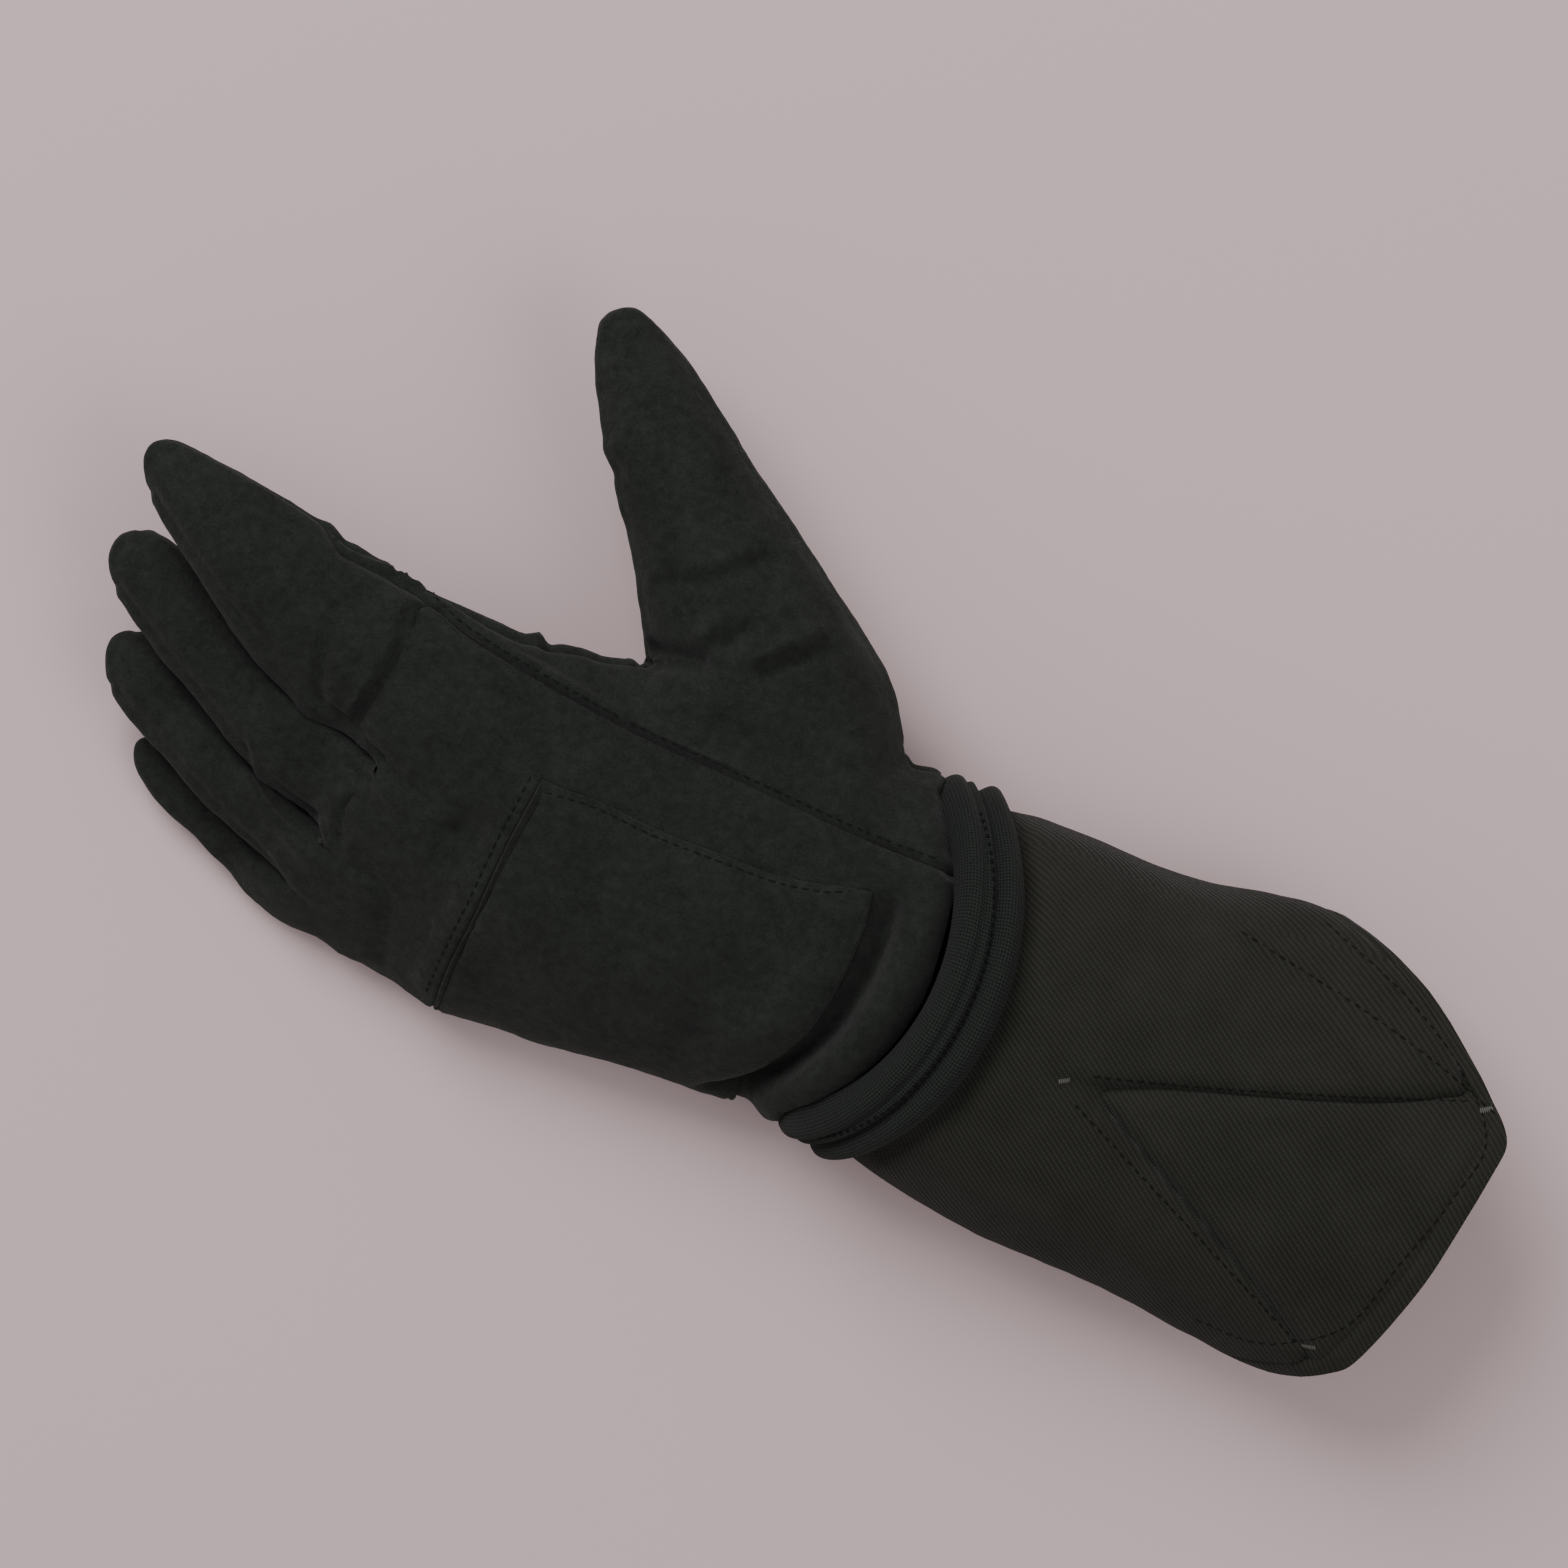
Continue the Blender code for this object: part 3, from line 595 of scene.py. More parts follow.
class Cage:
    """A coarse surface that is subdivided into cloth."""

    def __init__(self, reverse: bool = False) -> None:
        """Starts an empty cage.

        Args:
            reverse: Whether the faces are added the wrong way round.
        """
        self.points: list[tuple[float, float, float]] = []
        self.faces: list[tuple[int, ...]] = []
        self.marks: list[int] = []
        self.uvs: list[tuple[tuple[float, float], ...]] = []
        self.reverse = reverse

    def add_point(self, point: Sequence[float]) -> int:
        """Adds a point, raised to the floor if it would lie below it.

        Args:
            point: Its place.

        Returns:
            Its number.
        """
        x, y, z = point
        self.points.append((float(x), float(y), max(float(z), 0.0)))
        return len(self.points) - 1

    def add_face(self, corners: Sequence[int], mark: int,
                 uvs: Sequence[tuple[float, float]] | None = None) -> None:
        """Adds a face.

        Args:
            corners: Its points.
            mark: Its panel's number, more PATCH_MARK where the patch covers it.
            uvs: Its corners' places on the flat cloth, in metres.
        """
        uvs = uvs or ((0.0, 0.0),) * len(corners)
        if self.reverse:
            corners, uvs = corners[::-1], uvs[::-1]
        self.faces.append(tuple(corners))
        self.marks.append(mark)
        self.uvs.append(tuple(uvs))

    def refined(self, levels: int) -> Cloth:
        """Returns the smooth cloth that the cage stands for.

        Args:
            levels: How many times each face is cut into four.

        Returns:
            The fine surface.
        """
        mesh = bpy.data.meshes.new("cage")
        mesh.from_pydata(self.points, [], self.faces)
        mesh.polygons.foreach_set("material_index", self.marks)
        layer = mesh.uv_layers.new(name=CLOTH_MAP)
        layer.data.foreach_set("uv", [value for face in self.uvs for uv in face for value in uv])
        obj = add_object("cage", mesh)
        modifier = obj.modifiers.new("smooth", "SUBSURF")
        modifier.levels = modifier.render_levels = levels
        fine = bpy.data.meshes.new_from_object(obj.evaluated_get(bpy.context.evaluated_depsgraph_get()))
        cloth = Cloth(fine)
        bpy.data.objects.remove(obj)
        bpy.data.meshes.remove(mesh)
        bpy.data.meshes.remove(fine)
        return cloth


class Nodes:
    """Adds nodes to a tree and joins them."""

    def __init__(self, tree: bpy.types.NodeTree) -> None:
        """Starts with a tree."""
        self.tree = tree

    @property
    def shader(self) -> bpy.types.Node:
        """The shader of a material's tree."""
        return self.tree.nodes["Principled BSDF"]

    def join(self, name: str, socket: bpy.types.NodeSocket) -> None:
        """Joins a socket to the shader's input of that name."""
        self.tree.links.new(socket, self.shader.inputs[name])

    def add(self, kind: str, links: dict[str | int, object] | None = None,
            **settings: object) -> bpy.types.Node:
        """Adds a node.

        Args:
            kind: The node's type.
            links: For each input, the socket to join to it or the value to give it.
            settings: The node's own settings.

        Returns:
            The node.
        """
        node = self.tree.nodes.new(kind)
        for name, value in settings.items():
            setattr(node, name, value)
        for name, value in (links or {}).items():
            if isinstance(value, bpy.types.NodeSocket):
                self.tree.links.new(value, node.inputs[name])
            else:
                node.inputs[name].default_value = value
        return node

    def maths(self, operation: str, *values: object) -> bpy.types.NodeSocket:
        """Returns the result of a sum on sockets or numbers."""
        node = self.add("ShaderNodeMath", dict(enumerate(values)), operation=operation)
        return node.outputs[0]

    def noise(self, vector: bpy.types.NodeSocket, scale: float, detail: float = 3.0,
              roughness: float = 0.6) -> bpy.types.NodeSocket:
        """Adds a noise.

        Args:
            vector: The places that it is read at.
            scale: How many lumps it has a metre.
            detail: How many finer noises are laid over it.
            roughness: How strong they are.

        Returns:
            Its value, from 0 to 1.
        """
        node = self.add("ShaderNodeTexNoise", {"Vector": vector, "Scale": scale, "Detail": detail,
                                               "Roughness": roughness})
        return node.outputs["Fac"]

    def blend(self, factor: bpy.types.NodeSocket, low: Sequence[float],
              high: Sequence[float]) -> bpy.types.NodeSocket:
        """Mixes two colours.

        Args:
            factor: How far to go from low to high, from 0 to 1.
            low: One colour.
            high: The other.

        Returns:
            The colour between them.
        """
        node = self.add("ShaderNodeMix", {0: factor}, data_type="RGBA")
        node.inputs[6].default_value = (*low, 1.0)
        node.inputs[7].default_value = (*high, 1.0)
        return node.outputs[2]

    def bump(self, height: bpy.types.NodeSocket, distance: float, strength: float = 1.0,
             below: bpy.types.NodeSocket | None = None) -> bpy.types.NodeSocket:
        """Roughens the surface by a height.

        Args:
            height: The height, from 0 to 1.
            distance: How far 1 lies above 0, in metres.
            strength: How strongly it shows.
            below: The normals of another bump that this one lies on.

        Returns:
            The normals.
        """
        links = {"Height": height, "Distance": distance, "Strength": strength}
        if below is not None:
            links["Normal"] = below
        return self.add("ShaderNodeBump", links).outputs["Normal"]


SPECULAR_LEVEL = 0.07
SHEEN_ROUGHNESS = 0.4


@dataclass(frozen=True)
class Finish:
    """What a piece is made of."""

    name: str
    slot: str
    colour: Colour
    roughness: float
    sheen: float

    def material(self) -> bpy.types.Material:
        """Makes the material on first use.

        Returns:
            The material.
        """
        material = bpy.data.materials.get(self.name)
        if material is None:
            material = bpy.data.materials.new(self.name)
            material.use_nodes = True
            nodes = Nodes(material.node_tree)
            for name, value in (("Roughness", self.roughness), ("Specular IOR Level", SPECULAR_LEVEL),
                                ("Sheen Weight", self.sheen), ("Sheen Roughness", SHEEN_ROUGHNESS)):
                nodes.shader.inputs[name].default_value = value
            self.dress(nodes)
        return material

    def dress(self, nodes: Nodes) -> None:
        """Sets the colour and the relief. A plain finish has one colour."""
        nodes.shader.inputs["Base Color"].default_value = (*self.colour, 1.0)


@dataclass(frozen=True)
class WovenFinish(Finish):
    """A finish with a lighter second colour. Depths of relief are in metres.

    light: the second colour. light_from, light_to: the shades between which it takes over.
    """

    light: Colour
    light_from: float = 0.38
    light_to: float = 0.68

    def shade(self, nodes: Nodes, value: bpy.types.NodeSocket, normal: bpy.types.NodeSocket) -> None:
        """Gives the shader a colour by a shade, and its relief.

        Args:
            nodes: The material's nodes.
            value: The shade.
            normal: The relief's normals.
        """
        ramp = nodes.add("ShaderNodeMapRange", {
            "Value": value, "From Min": self.light_from, "From Max": self.light_to})
        nodes.join("Base Color", nodes.blend(ramp.outputs[0], self.colour, self.light))
        nodes.join("Normal", normal)


@dataclass(frozen=True)
class Suede(WovenFinish):
    """Brushed suede: a short nap that lies in soft lighter and darker patches.

    Each size is in lumps a metre, and each part says how much of the shade comes from it.
    """

    patches: float = 75.0
    tufts: float = 420.0
    nap: float = 1700.0
    pores: float = 5200.0
    patch_part: float = 0.26
    tuft_part: float = 0.34
    nap_part: float = 0.45
    tuft_depth: float = 0.00045
    nap_depth: float = 0.00040
    pore_depth: float = 0.00012

    def dress(self, nodes: Nodes) -> None:
        """Mottles the colour and raises the nap.

        Args:
            nodes: The material's nodes.
        """
        place = nodes.add("ShaderNodeTexCoord").outputs["Object"]
        broad = nodes.noise(place, self.patches, 4.0, 0.65)
        tufts = nodes.noise(place, self.tufts, 3.0, 0.6)
        fine = nodes.noise(place, self.nap, 4.0, 0.7)
        close = nodes.maths("MULTIPLY_ADD", tufts, self.tuft_part,
                            nodes.maths("MULTIPLY", fine, self.nap_part))
        mix = nodes.maths("ADD", nodes.maths("MULTIPLY", broad, self.patch_part), close)
        tufted = nodes.bump(tufts, self.tuft_depth, 0.8)
        napped = nodes.bump(fine, self.nap_depth, 0.9, tufted)
        pores = nodes.noise(place, self.pores, 2.0)
        self.shade(nodes, mix, nodes.bump(pores, self.pore_depth, 0.6, napped))


@dataclass(frozen=True)
class Twill(WovenFinish):
    """Twill: fine raised ribs that run slantwise over the cloth.

    rib: from one rib to the next, in metres. slant: degrees between the ribs and the cuff's length.
    waver: how far the ribs stray. yarn: from one yarn to the next, in ribs. yarn_part: how deep the
    yarns cut a rib. weave_part, broad_part, fuzz_part: how much of the shade comes from each.
    """

    rib: float = 0.00115
    slant: float = -33.0
    waver: float = 0.9
    yarn: float = 0.75
    yarn_part: float = 0.3
    weave_part: float = 0.5
    broad_part: float = 0.45
    fuzz_part: float = 0.25
    rib_depth: float = 0.00030
    fuzz_depth: float = 0.00015

    def dress(self, nodes: Nodes) -> None:
        """Lays the ribs over the cloth's own places.

        Args:
            nodes: The material's nodes.
        """
        flat = nodes.add("ShaderNodeUVMap", uv_map=CLOTH_MAP).outputs["UV"]
        place = nodes.add("ShaderNodeTexCoord").outputs["Object"]
        turned = nodes.add("ShaderNodeMapping", {"Vector": flat,
                                                 "Rotation": (0, 0, math.radians(self.slant))})
        parts = nodes.add("ShaderNodeSeparateXYZ", {"Vector": turned.outputs[0]})
        waver = nodes.maths("MULTIPLY", nodes.noise(place, 160.0, 2.0), self.waver)
        along = nodes.maths("ADD", nodes.maths("MULTIPLY", parts.outputs["Y"], 2 * math.pi / self.rib), waver)
        rib = nodes.maths("MULTIPLY_ADD", nodes.maths("SINE", along), 0.5, 0.5)
        yarn_turns = nodes.maths("MULTIPLY", parts.outputs["X"], 2 * math.pi / (self.yarn * self.rib))
        yarn = nodes.maths("MULTIPLY_ADD", nodes.maths("SINE", yarn_turns), 0.5, 0.5)
        weave = nodes.maths("MULTIPLY", rib,
                            nodes.maths("MULTIPLY_ADD", yarn, self.yarn_part, 1.0 - self.yarn_part))
        broad = nodes.noise(place, 70.0, 3.0, 0.6)
        fuzz = nodes.noise(place, 2600.0, 3.0, 0.7)
        uneven = nodes.maths("ADD", nodes.maths("MULTIPLY", broad, self.broad_part),
                             nodes.maths("MULTIPLY", fuzz, self.fuzz_part))
        value = nodes.maths("ADD", nodes.maths("MULTIPLY", weave, self.weave_part), uneven)
        ribs = nodes.bump(weave, self.rib_depth, 1.0)
        self.shade(nodes, value, nodes.bump(fuzz, self.fuzz_depth, 0.6, ribs))


@dataclass(frozen=True)
class Elastic(WovenFinish):
    """Woven elastic: fine cords along the band, crossed by close yarns.

    cord, yarn: from one to the next, in metres. swing: how far each changes the weave's height.
    weave_part, fuzz_part: how much of the shade comes from each.
    """

    cord: float = 0.0009
    yarn: float = 0.0007
    swing: float = 0.22
    weave_part: float = 0.6
    fuzz_part: float = 0.6
    weave_depth: float = 0.0003
    fuzz_depth: float = 0.0002

    def dress(self, nodes: Nodes) -> None:
        """Lays the cords and yarns over the band's own places.

        Args:
            nodes: The material's nodes.
        """
        flat = nodes.add("ShaderNodeUVMap", uv_map=CLOTH_MAP).outputs["UV"]
        place = nodes.add("ShaderNodeTexCoord").outputs["Object"]
        parts = nodes.add("ShaderNodeSeparateXYZ", {"Vector": flat})
        cords, yarns = (
            nodes.maths("SINE", nodes.maths("MULTIPLY", parts.outputs[axis], 2 * math.pi / step))
            for axis, step in (("Y", self.cord), ("X", self.yarn)))
        weave = nodes.maths("ADD", nodes.maths("MULTIPLY_ADD", cords, self.swing, 0.25),
                            nodes.maths("MULTIPLY_ADD", yarns, self.swing, 0.25))
        fuzz = nodes.noise(place, 2200.0, 3.0, 0.7)
        value = nodes.maths("ADD", nodes.maths("MULTIPLY", weave, self.weave_part),
                            nodes.maths("MULTIPLY", fuzz, self.fuzz_part))
        woven = nodes.bump(weave, self.weave_depth, 0.9)
        self.shade(nodes, value, nodes.bump(fuzz, self.fuzz_depth, 0.7, woven))


SUEDE = Suede("brushed_suede", "suede", (0.0090, 0.0102, 0.0092), 0.92, 0.07, (0.0235, 0.0262, 0.0232))
TWILL = Twill("ribbed_twill", "twill", (0.0118, 0.0118, 0.0096), 0.92, 0.05, (0.0272, 0.0270, 0.0232),
              0.22, 0.85)
ELASTIC = Elastic("woven_elastic", "elastic", (0.0050, 0.0060, 0.0054), 0.90, 0.04,
                  (0.0230, 0.0255, 0.0235), 0.3, 0.9)
HAND_THREAD = Finish("hand_thread", "suede", (0.0065, 0.0078, 0.0070), 0.6, 0.0)
CUFF_THREAD = Finish("cuff_thread", "twill", (0.0060, 0.0060, 0.0050), 0.6, 0.0)
BAND_THREAD = Finish("band_thread", "elastic", (0.0040, 0.0048, 0.0044), 0.7, 0.0)
PALE_THREAD = Finish("pale_thread", "twill", (0.0900, 0.0880, 0.0800), 0.6, 0.0)
FLOOR = Finish("floor", "suede", (0.573, 0.440, 0.456), 0.9, 0.0)

# RIM_ANGLE: the least angle at which an edge of the cloth shows sharp, in degrees.
# LEAST_HEIGHT: how far the inner side of the cloth stays above the floor, in metres.
RIM_ANGLE = 60.0
LEAST_HEIGHT = 0.2 * MM


def add_piece(name: str, finish: Finish, mesh: bpy.types.Mesh,
              nodes: Sequence[str] = ()) -> bpy.types.Object:
    """Adds a finished piece of the glove.

    Args:
        name: The piece's name.
        finish: What it is made of.
        mesh: Its mesh, in place.
        nodes: The solids that it stands for.

    Returns:
        The piece.
    """
    obj = add_object(name, mesh)
    if not mesh.materials:
        mesh.materials.append(finish.material())
    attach(obj, BODY)
    if nodes:
        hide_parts(*nodes)
    log.info("%s: %d triangles", name, sum(len(face.vertices) - 2 for face in mesh.polygons))
    return obj


def walled_mesh(name: str, points: np.ndarray, inner: np.ndarray, faces: np.ndarray,
                uvs: np.ndarray) -> bpy.types.Mesh:
    """Returns the mesh of a piece of cloth with a wall.

    Args:
        name: The mesh's name.
        points: The outer side's points.
        inner: The same points on the inner side.
        faces: Four-sided faces of the outer side.
        uvs: The places of their corners on the flat cloth.

    Returns:
        The mesh, smooth but for its rim.
    """
    count = len(points)
    directed = np.stack((faces, np.roll(faces, -1, axis=1)), axis=2).reshape(-1, 2)
    keys = directed[:, 0].astype(np.int64) * count + directed[:, 1]
    back_keys = directed[:, 1].astype(np.int64) * count + directed[:, 0]
    rim = ~np.isin(back_keys, keys)
    a, b = directed[rim, 0], directed[rim, 1]
    rim_faces = np.stack((b, a, a + count, b + count), axis=1)
    edge_uvs = np.stack((uvs, np.roll(uvs, -1, axis=1)), axis=2).reshape(-1, 2, 2)[rim]
    rim_uvs = np.stack((edge_uvs[:, 1], edge_uvs[:, 0], edge_uvs[:, 0], edge_uvs[:, 1]), axis=1)
    every = np.vstack((faces, faces[:, ::-1] + count, rim_faces))
    every_uvs = np.vstack((uvs, uvs[:, ::-1], rim_uvs))
    mesh = bpy.data.meshes.new(name)
    mesh.from_pydata(np.vstack((points, inner)).tolist(), [], every.tolist())
    layer = mesh.uv_layers.new(name=CLOTH_MAP)
    layer.data.foreach_set("uv", every_uvs.ravel())
    mesh.update()
    mesh.shade_smooth()
    mesh.set_sharp_from_angle(angle=math.radians(RIM_ANGLE))
    return mesh


def add_cloth(name: str, finish: Finish, cloth: Cloth, chosen: np.ndarray, wall: float, place: Vector,
              nodes: Sequence[str], lift: np.ndarray | None = None) -> bpy.types.Object:
    """Adds some faces of a cloth as a piece with its own wall.

    Args:
        name: The piece's name.
        finish: What it is made of.
        cloth: The surface.
        chosen: True for each of its faces to use.
        wall: How thick the piece is, in metres.
        place: Where the drawing's origin lies in the frame.
        nodes: The solids that the piece stands for.
        lift: How far each of the cloth's points is raised first, in metres.

    Returns:
        The piece.
    """
    used, faces, uvs = cloth.part(chosen)
    normals = cloth.normals()[used]
    points = cloth.points[used] + np.array(place)
    if lift is not None:
        points = points + normals * lift[used][:, None]
    inner = points - normals * wall
    points[:, 2] = np.maximum(points[:, 2], 0.0)
    inner[:, 2] = np.maximum(inner[:, 2], LEAST_HEIGHT)
    return add_piece(name, finish, walled_mesh(name, points, inner, faces, uvs), nodes)


class SewnPart:
    """A part of the glove whose panels are cut from one cloth.

    finish: what they are made of. pieces: for each panel, its piece's name and the solids that the piece
    stands for. wall: how thick they are, in metres.
    """

    finish: ClassVar[Finish]
    pieces: ClassVar[dict[Panel, tuple[str, ...]]]
    wall: float

    def build(self, cloth: Cloth, place: Vector) -> list[bpy.types.Object]:
        """Adds the part's pieces.

        Args:
            cloth: The part's fine surface.
            place: Where the drawing's origin lies in the frame.

        Returns:
            The pieces.
        """
        return [add_cloth(name, self.finish, cloth, cloth.panels == panel, self.wall, place, nodes)
                for panel, (name, *nodes) in self.pieces.items()]


@dataclass
class Hand(SewnPart):
    """The sewn suede hand, with its fingers, its thumb and the patch on the heel of the palm."""

    finish = SUEDE
    pieces = {
        Panel.PALM: ("palm_skin", "palm_panel", "middle_front", "ring_front", "little_front"),
        Panel.BACK: ("back_skin", "back_panel", "index_back", "middle_back", "ring_back", "little_back"),
        Panel.INDEX: ("index_front_skin", "index_front"),
        Panel.STRIP_1: ("finger_side_1", "finger_strip_1"),
        Panel.STRIP_2: ("finger_side_2", "finger_strip_2"),
        Panel.STRIP_3: ("finger_side_3", "finger_strip_3"),
        Panel.THUMB_FRONT: ("thumb_front_skin", "thumb_front"),
        Panel.THUMB_BACK: ("thumb_back_skin", "thumb_back"),
    }
    length: float = 0.2040
    width: float = 0.0880
    depth: float = 0.0400
    thumb_reach: float = 0.1120
    thumb_width: float = 0.0540
    thumb_depth: float = 0.0350
    wall: float = 0.0013
    patch_wall: float = 0.0006
    roundness: float = 0.85
    root_slant: float = 0.30
    tip_bulge: float = 0.42
    crotch_depth: float = 0.15
    across: int = 4
    down: int = 4
    fingers: int = 4
    thumb_columns: int = 2
    thumb_rows: tuple[int, int] = (3, 8)
    patch_rows: tuple[int, int] = (3, 9)
    seam_face: int = 14
    seam_end: int = 4
    rows: tuple[Row, ...] = (
        Row(-0.005, -0.005, 0.518, 0.590, 0.650, 4, 0.212, 0.195, 0.235),
        Row(-0.014, -0.005, 0.524, 0.660, 0.650, 5, 0.135, 0.193, 0.235),
        Row(-0.034, 0.000, 0.500, 0.570, 0.600, 8, 0.040, 0.188, 0.245),
        Row(-0.050, 0.000, 0.512, 0.570, 0.590, 9, 0.020, 0.220, 0.290),
        Row(-0.095, -0.010, 0.522, 0.560, 0.580, 11, 0.010, 0.204, 0.335),
        Row(-0.165, -0.028, 0.532, 0.550, 0.570, 13, 0.000, 0.168, 0.342),
        Row(-0.235, -0.050, 0.540, 0.530, 0.560, 14, 0.000, 0.153, 0.332),
        Row(-0.305, -0.075, 0.546, 0.510, 0.560, 15, 0.000, 0.136, 0.317),
        Row(-0.370, -0.095, 0.546, 0.490, 0.560, 16, 0.000, 0.114, 0.304),
        Row(-0.412, -0.120, 0.542, 0.470, 0.560, 17, 0.000, 0.092, 0.293),
        Row(-0.428, -0.124, 0.542, 0.460, 0.555, 18, 0.000, 0.084, 0.289),
        Row(-0.470, -0.132, 0.540, 0.430, 0.545, 21, 0.000, 0.066, 0.275),
        Row(-0.505, -0.132, 0.540, 0.390, 0.530, 24, 0.000, 0.055, 0.268),
    )
    row_steps: tuple[int, ...] = (1, 1, 1, 2, 2, 2, 2, 2, 2, 1, 2, 1)
    near_seam: tuple[float, ...] = (0.30, 0.65, 1.00)
    front_shares: tuple[float, ...] = (
        0.47, 0.54, 0.60, 0.66, 0.71, 0.75, 0.79, 0.83, 0.87, 0.90, 0.93, 0.96, 0.98)
    finger_rows: tuple[tuple[Digit, ...], ...] = (
        (
            Digit(-0.640, 0.142, 0.795, 0.230, 0.240, 17),
            Digit(-0.686, 0.155, 0.810, 0.232, 0.225, 13),
            Digit(-0.765, 0.192, 0.850, 0.217, 0.205, 8),
            Digit(-0.846, 0.257, 0.870, 0.167, 0.195, 4),
            Digit(-0.912, 0.310, 0.870, 0.124, 0.175, 4),
            Digit(-0.961, 0.350, 0.860, 0.086, 0.130, 4),
        ),
        (
            Digit(-0.632, -0.210, 0.510, 0.122, 0.215, 21),
            Digit(-0.690, -0.182, 0.560, 0.124, 0.200, 14),
            Digit(-0.765, -0.112, 0.610, 0.118, 0.180, 4),
            Digit(-0.843, -0.023, 0.610, 0.120, 0.172, 4),
            Digit(-0.907, 0.052, 0.610, 0.122, 0.160, 4),
            Digit(-0.951, 0.084, 0.610, 0.090, 0.125, 4),
        ),
        (
            Digit(-0.655, -0.406, 0.350, 0.090, 0.175, 20),
            Digit(-0.700, -0.368, 0.390, 0.104, 0.162, 10),
            Digit(-0.742, -0.328, 0.402, 0.114, 0.160, 0),
            Digit(-0.804, -0.268, 0.400, 0.111, 0.155, 0),
            Digit(-0.863, -0.211, 0.400, 0.114, 0.148, 0),
            Digit(-0.909, -0.168, 0.400, 0.090, 0.120, 0),
        ),
        (
            Digit(-0.670, -0.534, 0.152, 0.070, 0.128, 20),
            Digit(-0.702, -0.495, 0.134, 0.078, 0.127, 8),
            Digit(-0.737, -0.466, 0.135, 0.082, 0.130, 0),
            Digit(-0.780, -0.431, 0.132, 0.080, 0.128, 0),
            Digit(-0.816, -0.402, 0.130, 0.072, 0.122, 0),
            Digit(-0.841, -0.386, 0.130, 0.055, 0.100, 0),
        ),
    )
    thumb_sections: tuple[Digit, ...] = (
        Digit(-0.226, 0.436, 0.780, 0.528, 0.500, 20),
        Digit(-0.276, 0.494, 0.800, 0.450, 0.450, 38),
        Digit(-0.318, 0.560, 0.820, 0.400, 0.400, 43),
        Digit(-0.372, 0.652, 0.820, 0.335, 0.350, 45),
        Digit(-0.428, 0.738, 0.810, 0.292, 0.310, 45),
        Digit(-0.486, 0.830, 0.790, 0.240, 0.265, 45),
        Digit(-0.522, 0.890, 0.780, 0.196, 0.225, 45),
        Digit(-0.551, 0.944, 0.770, 0.136, 0.165, 45),
    )
    thumb_seam: Path = (
        (-150.0, 31.0), (-142.5, 30.8), (-126.5, 29.6), (-114.2, 26.5), (-90.4, 24.2), (-68.6, 23.2),
        (-49.0, 23.7), (-28.6, 24.1), (-10.6, 24.5), (5.1, 25.9), (16.0, 27.0))
    patch_side: Path = (
        (-90.0, 3.0), (-83.4, 3.8), (-71.1, 5.5), (-55.5, 5.6), (-40.8, 6.8), (-25.5, 8.4), (-14.0, 11.6),
        (-7.5, 15.0), (-1.0, 19.5))
    patch_finger_end: Path = (
        (-84.5, 14.0), (-85.0, 4.4), (-85.5, -12.4), (-85.1, -29.7), (-85.0, -43.6), (-84.2, -54.2),
        (-83.0, -64.0))
    patch_wrist_end: Path = (
        (-6.6, 24.0), (-5.4, 17.0), (-3.2, 7.3), (-2.4, -5.6), (-3.7, -21.1), (-9.0, -34.0), (-17.0, -46.0),
        (-24.0, -54.0))
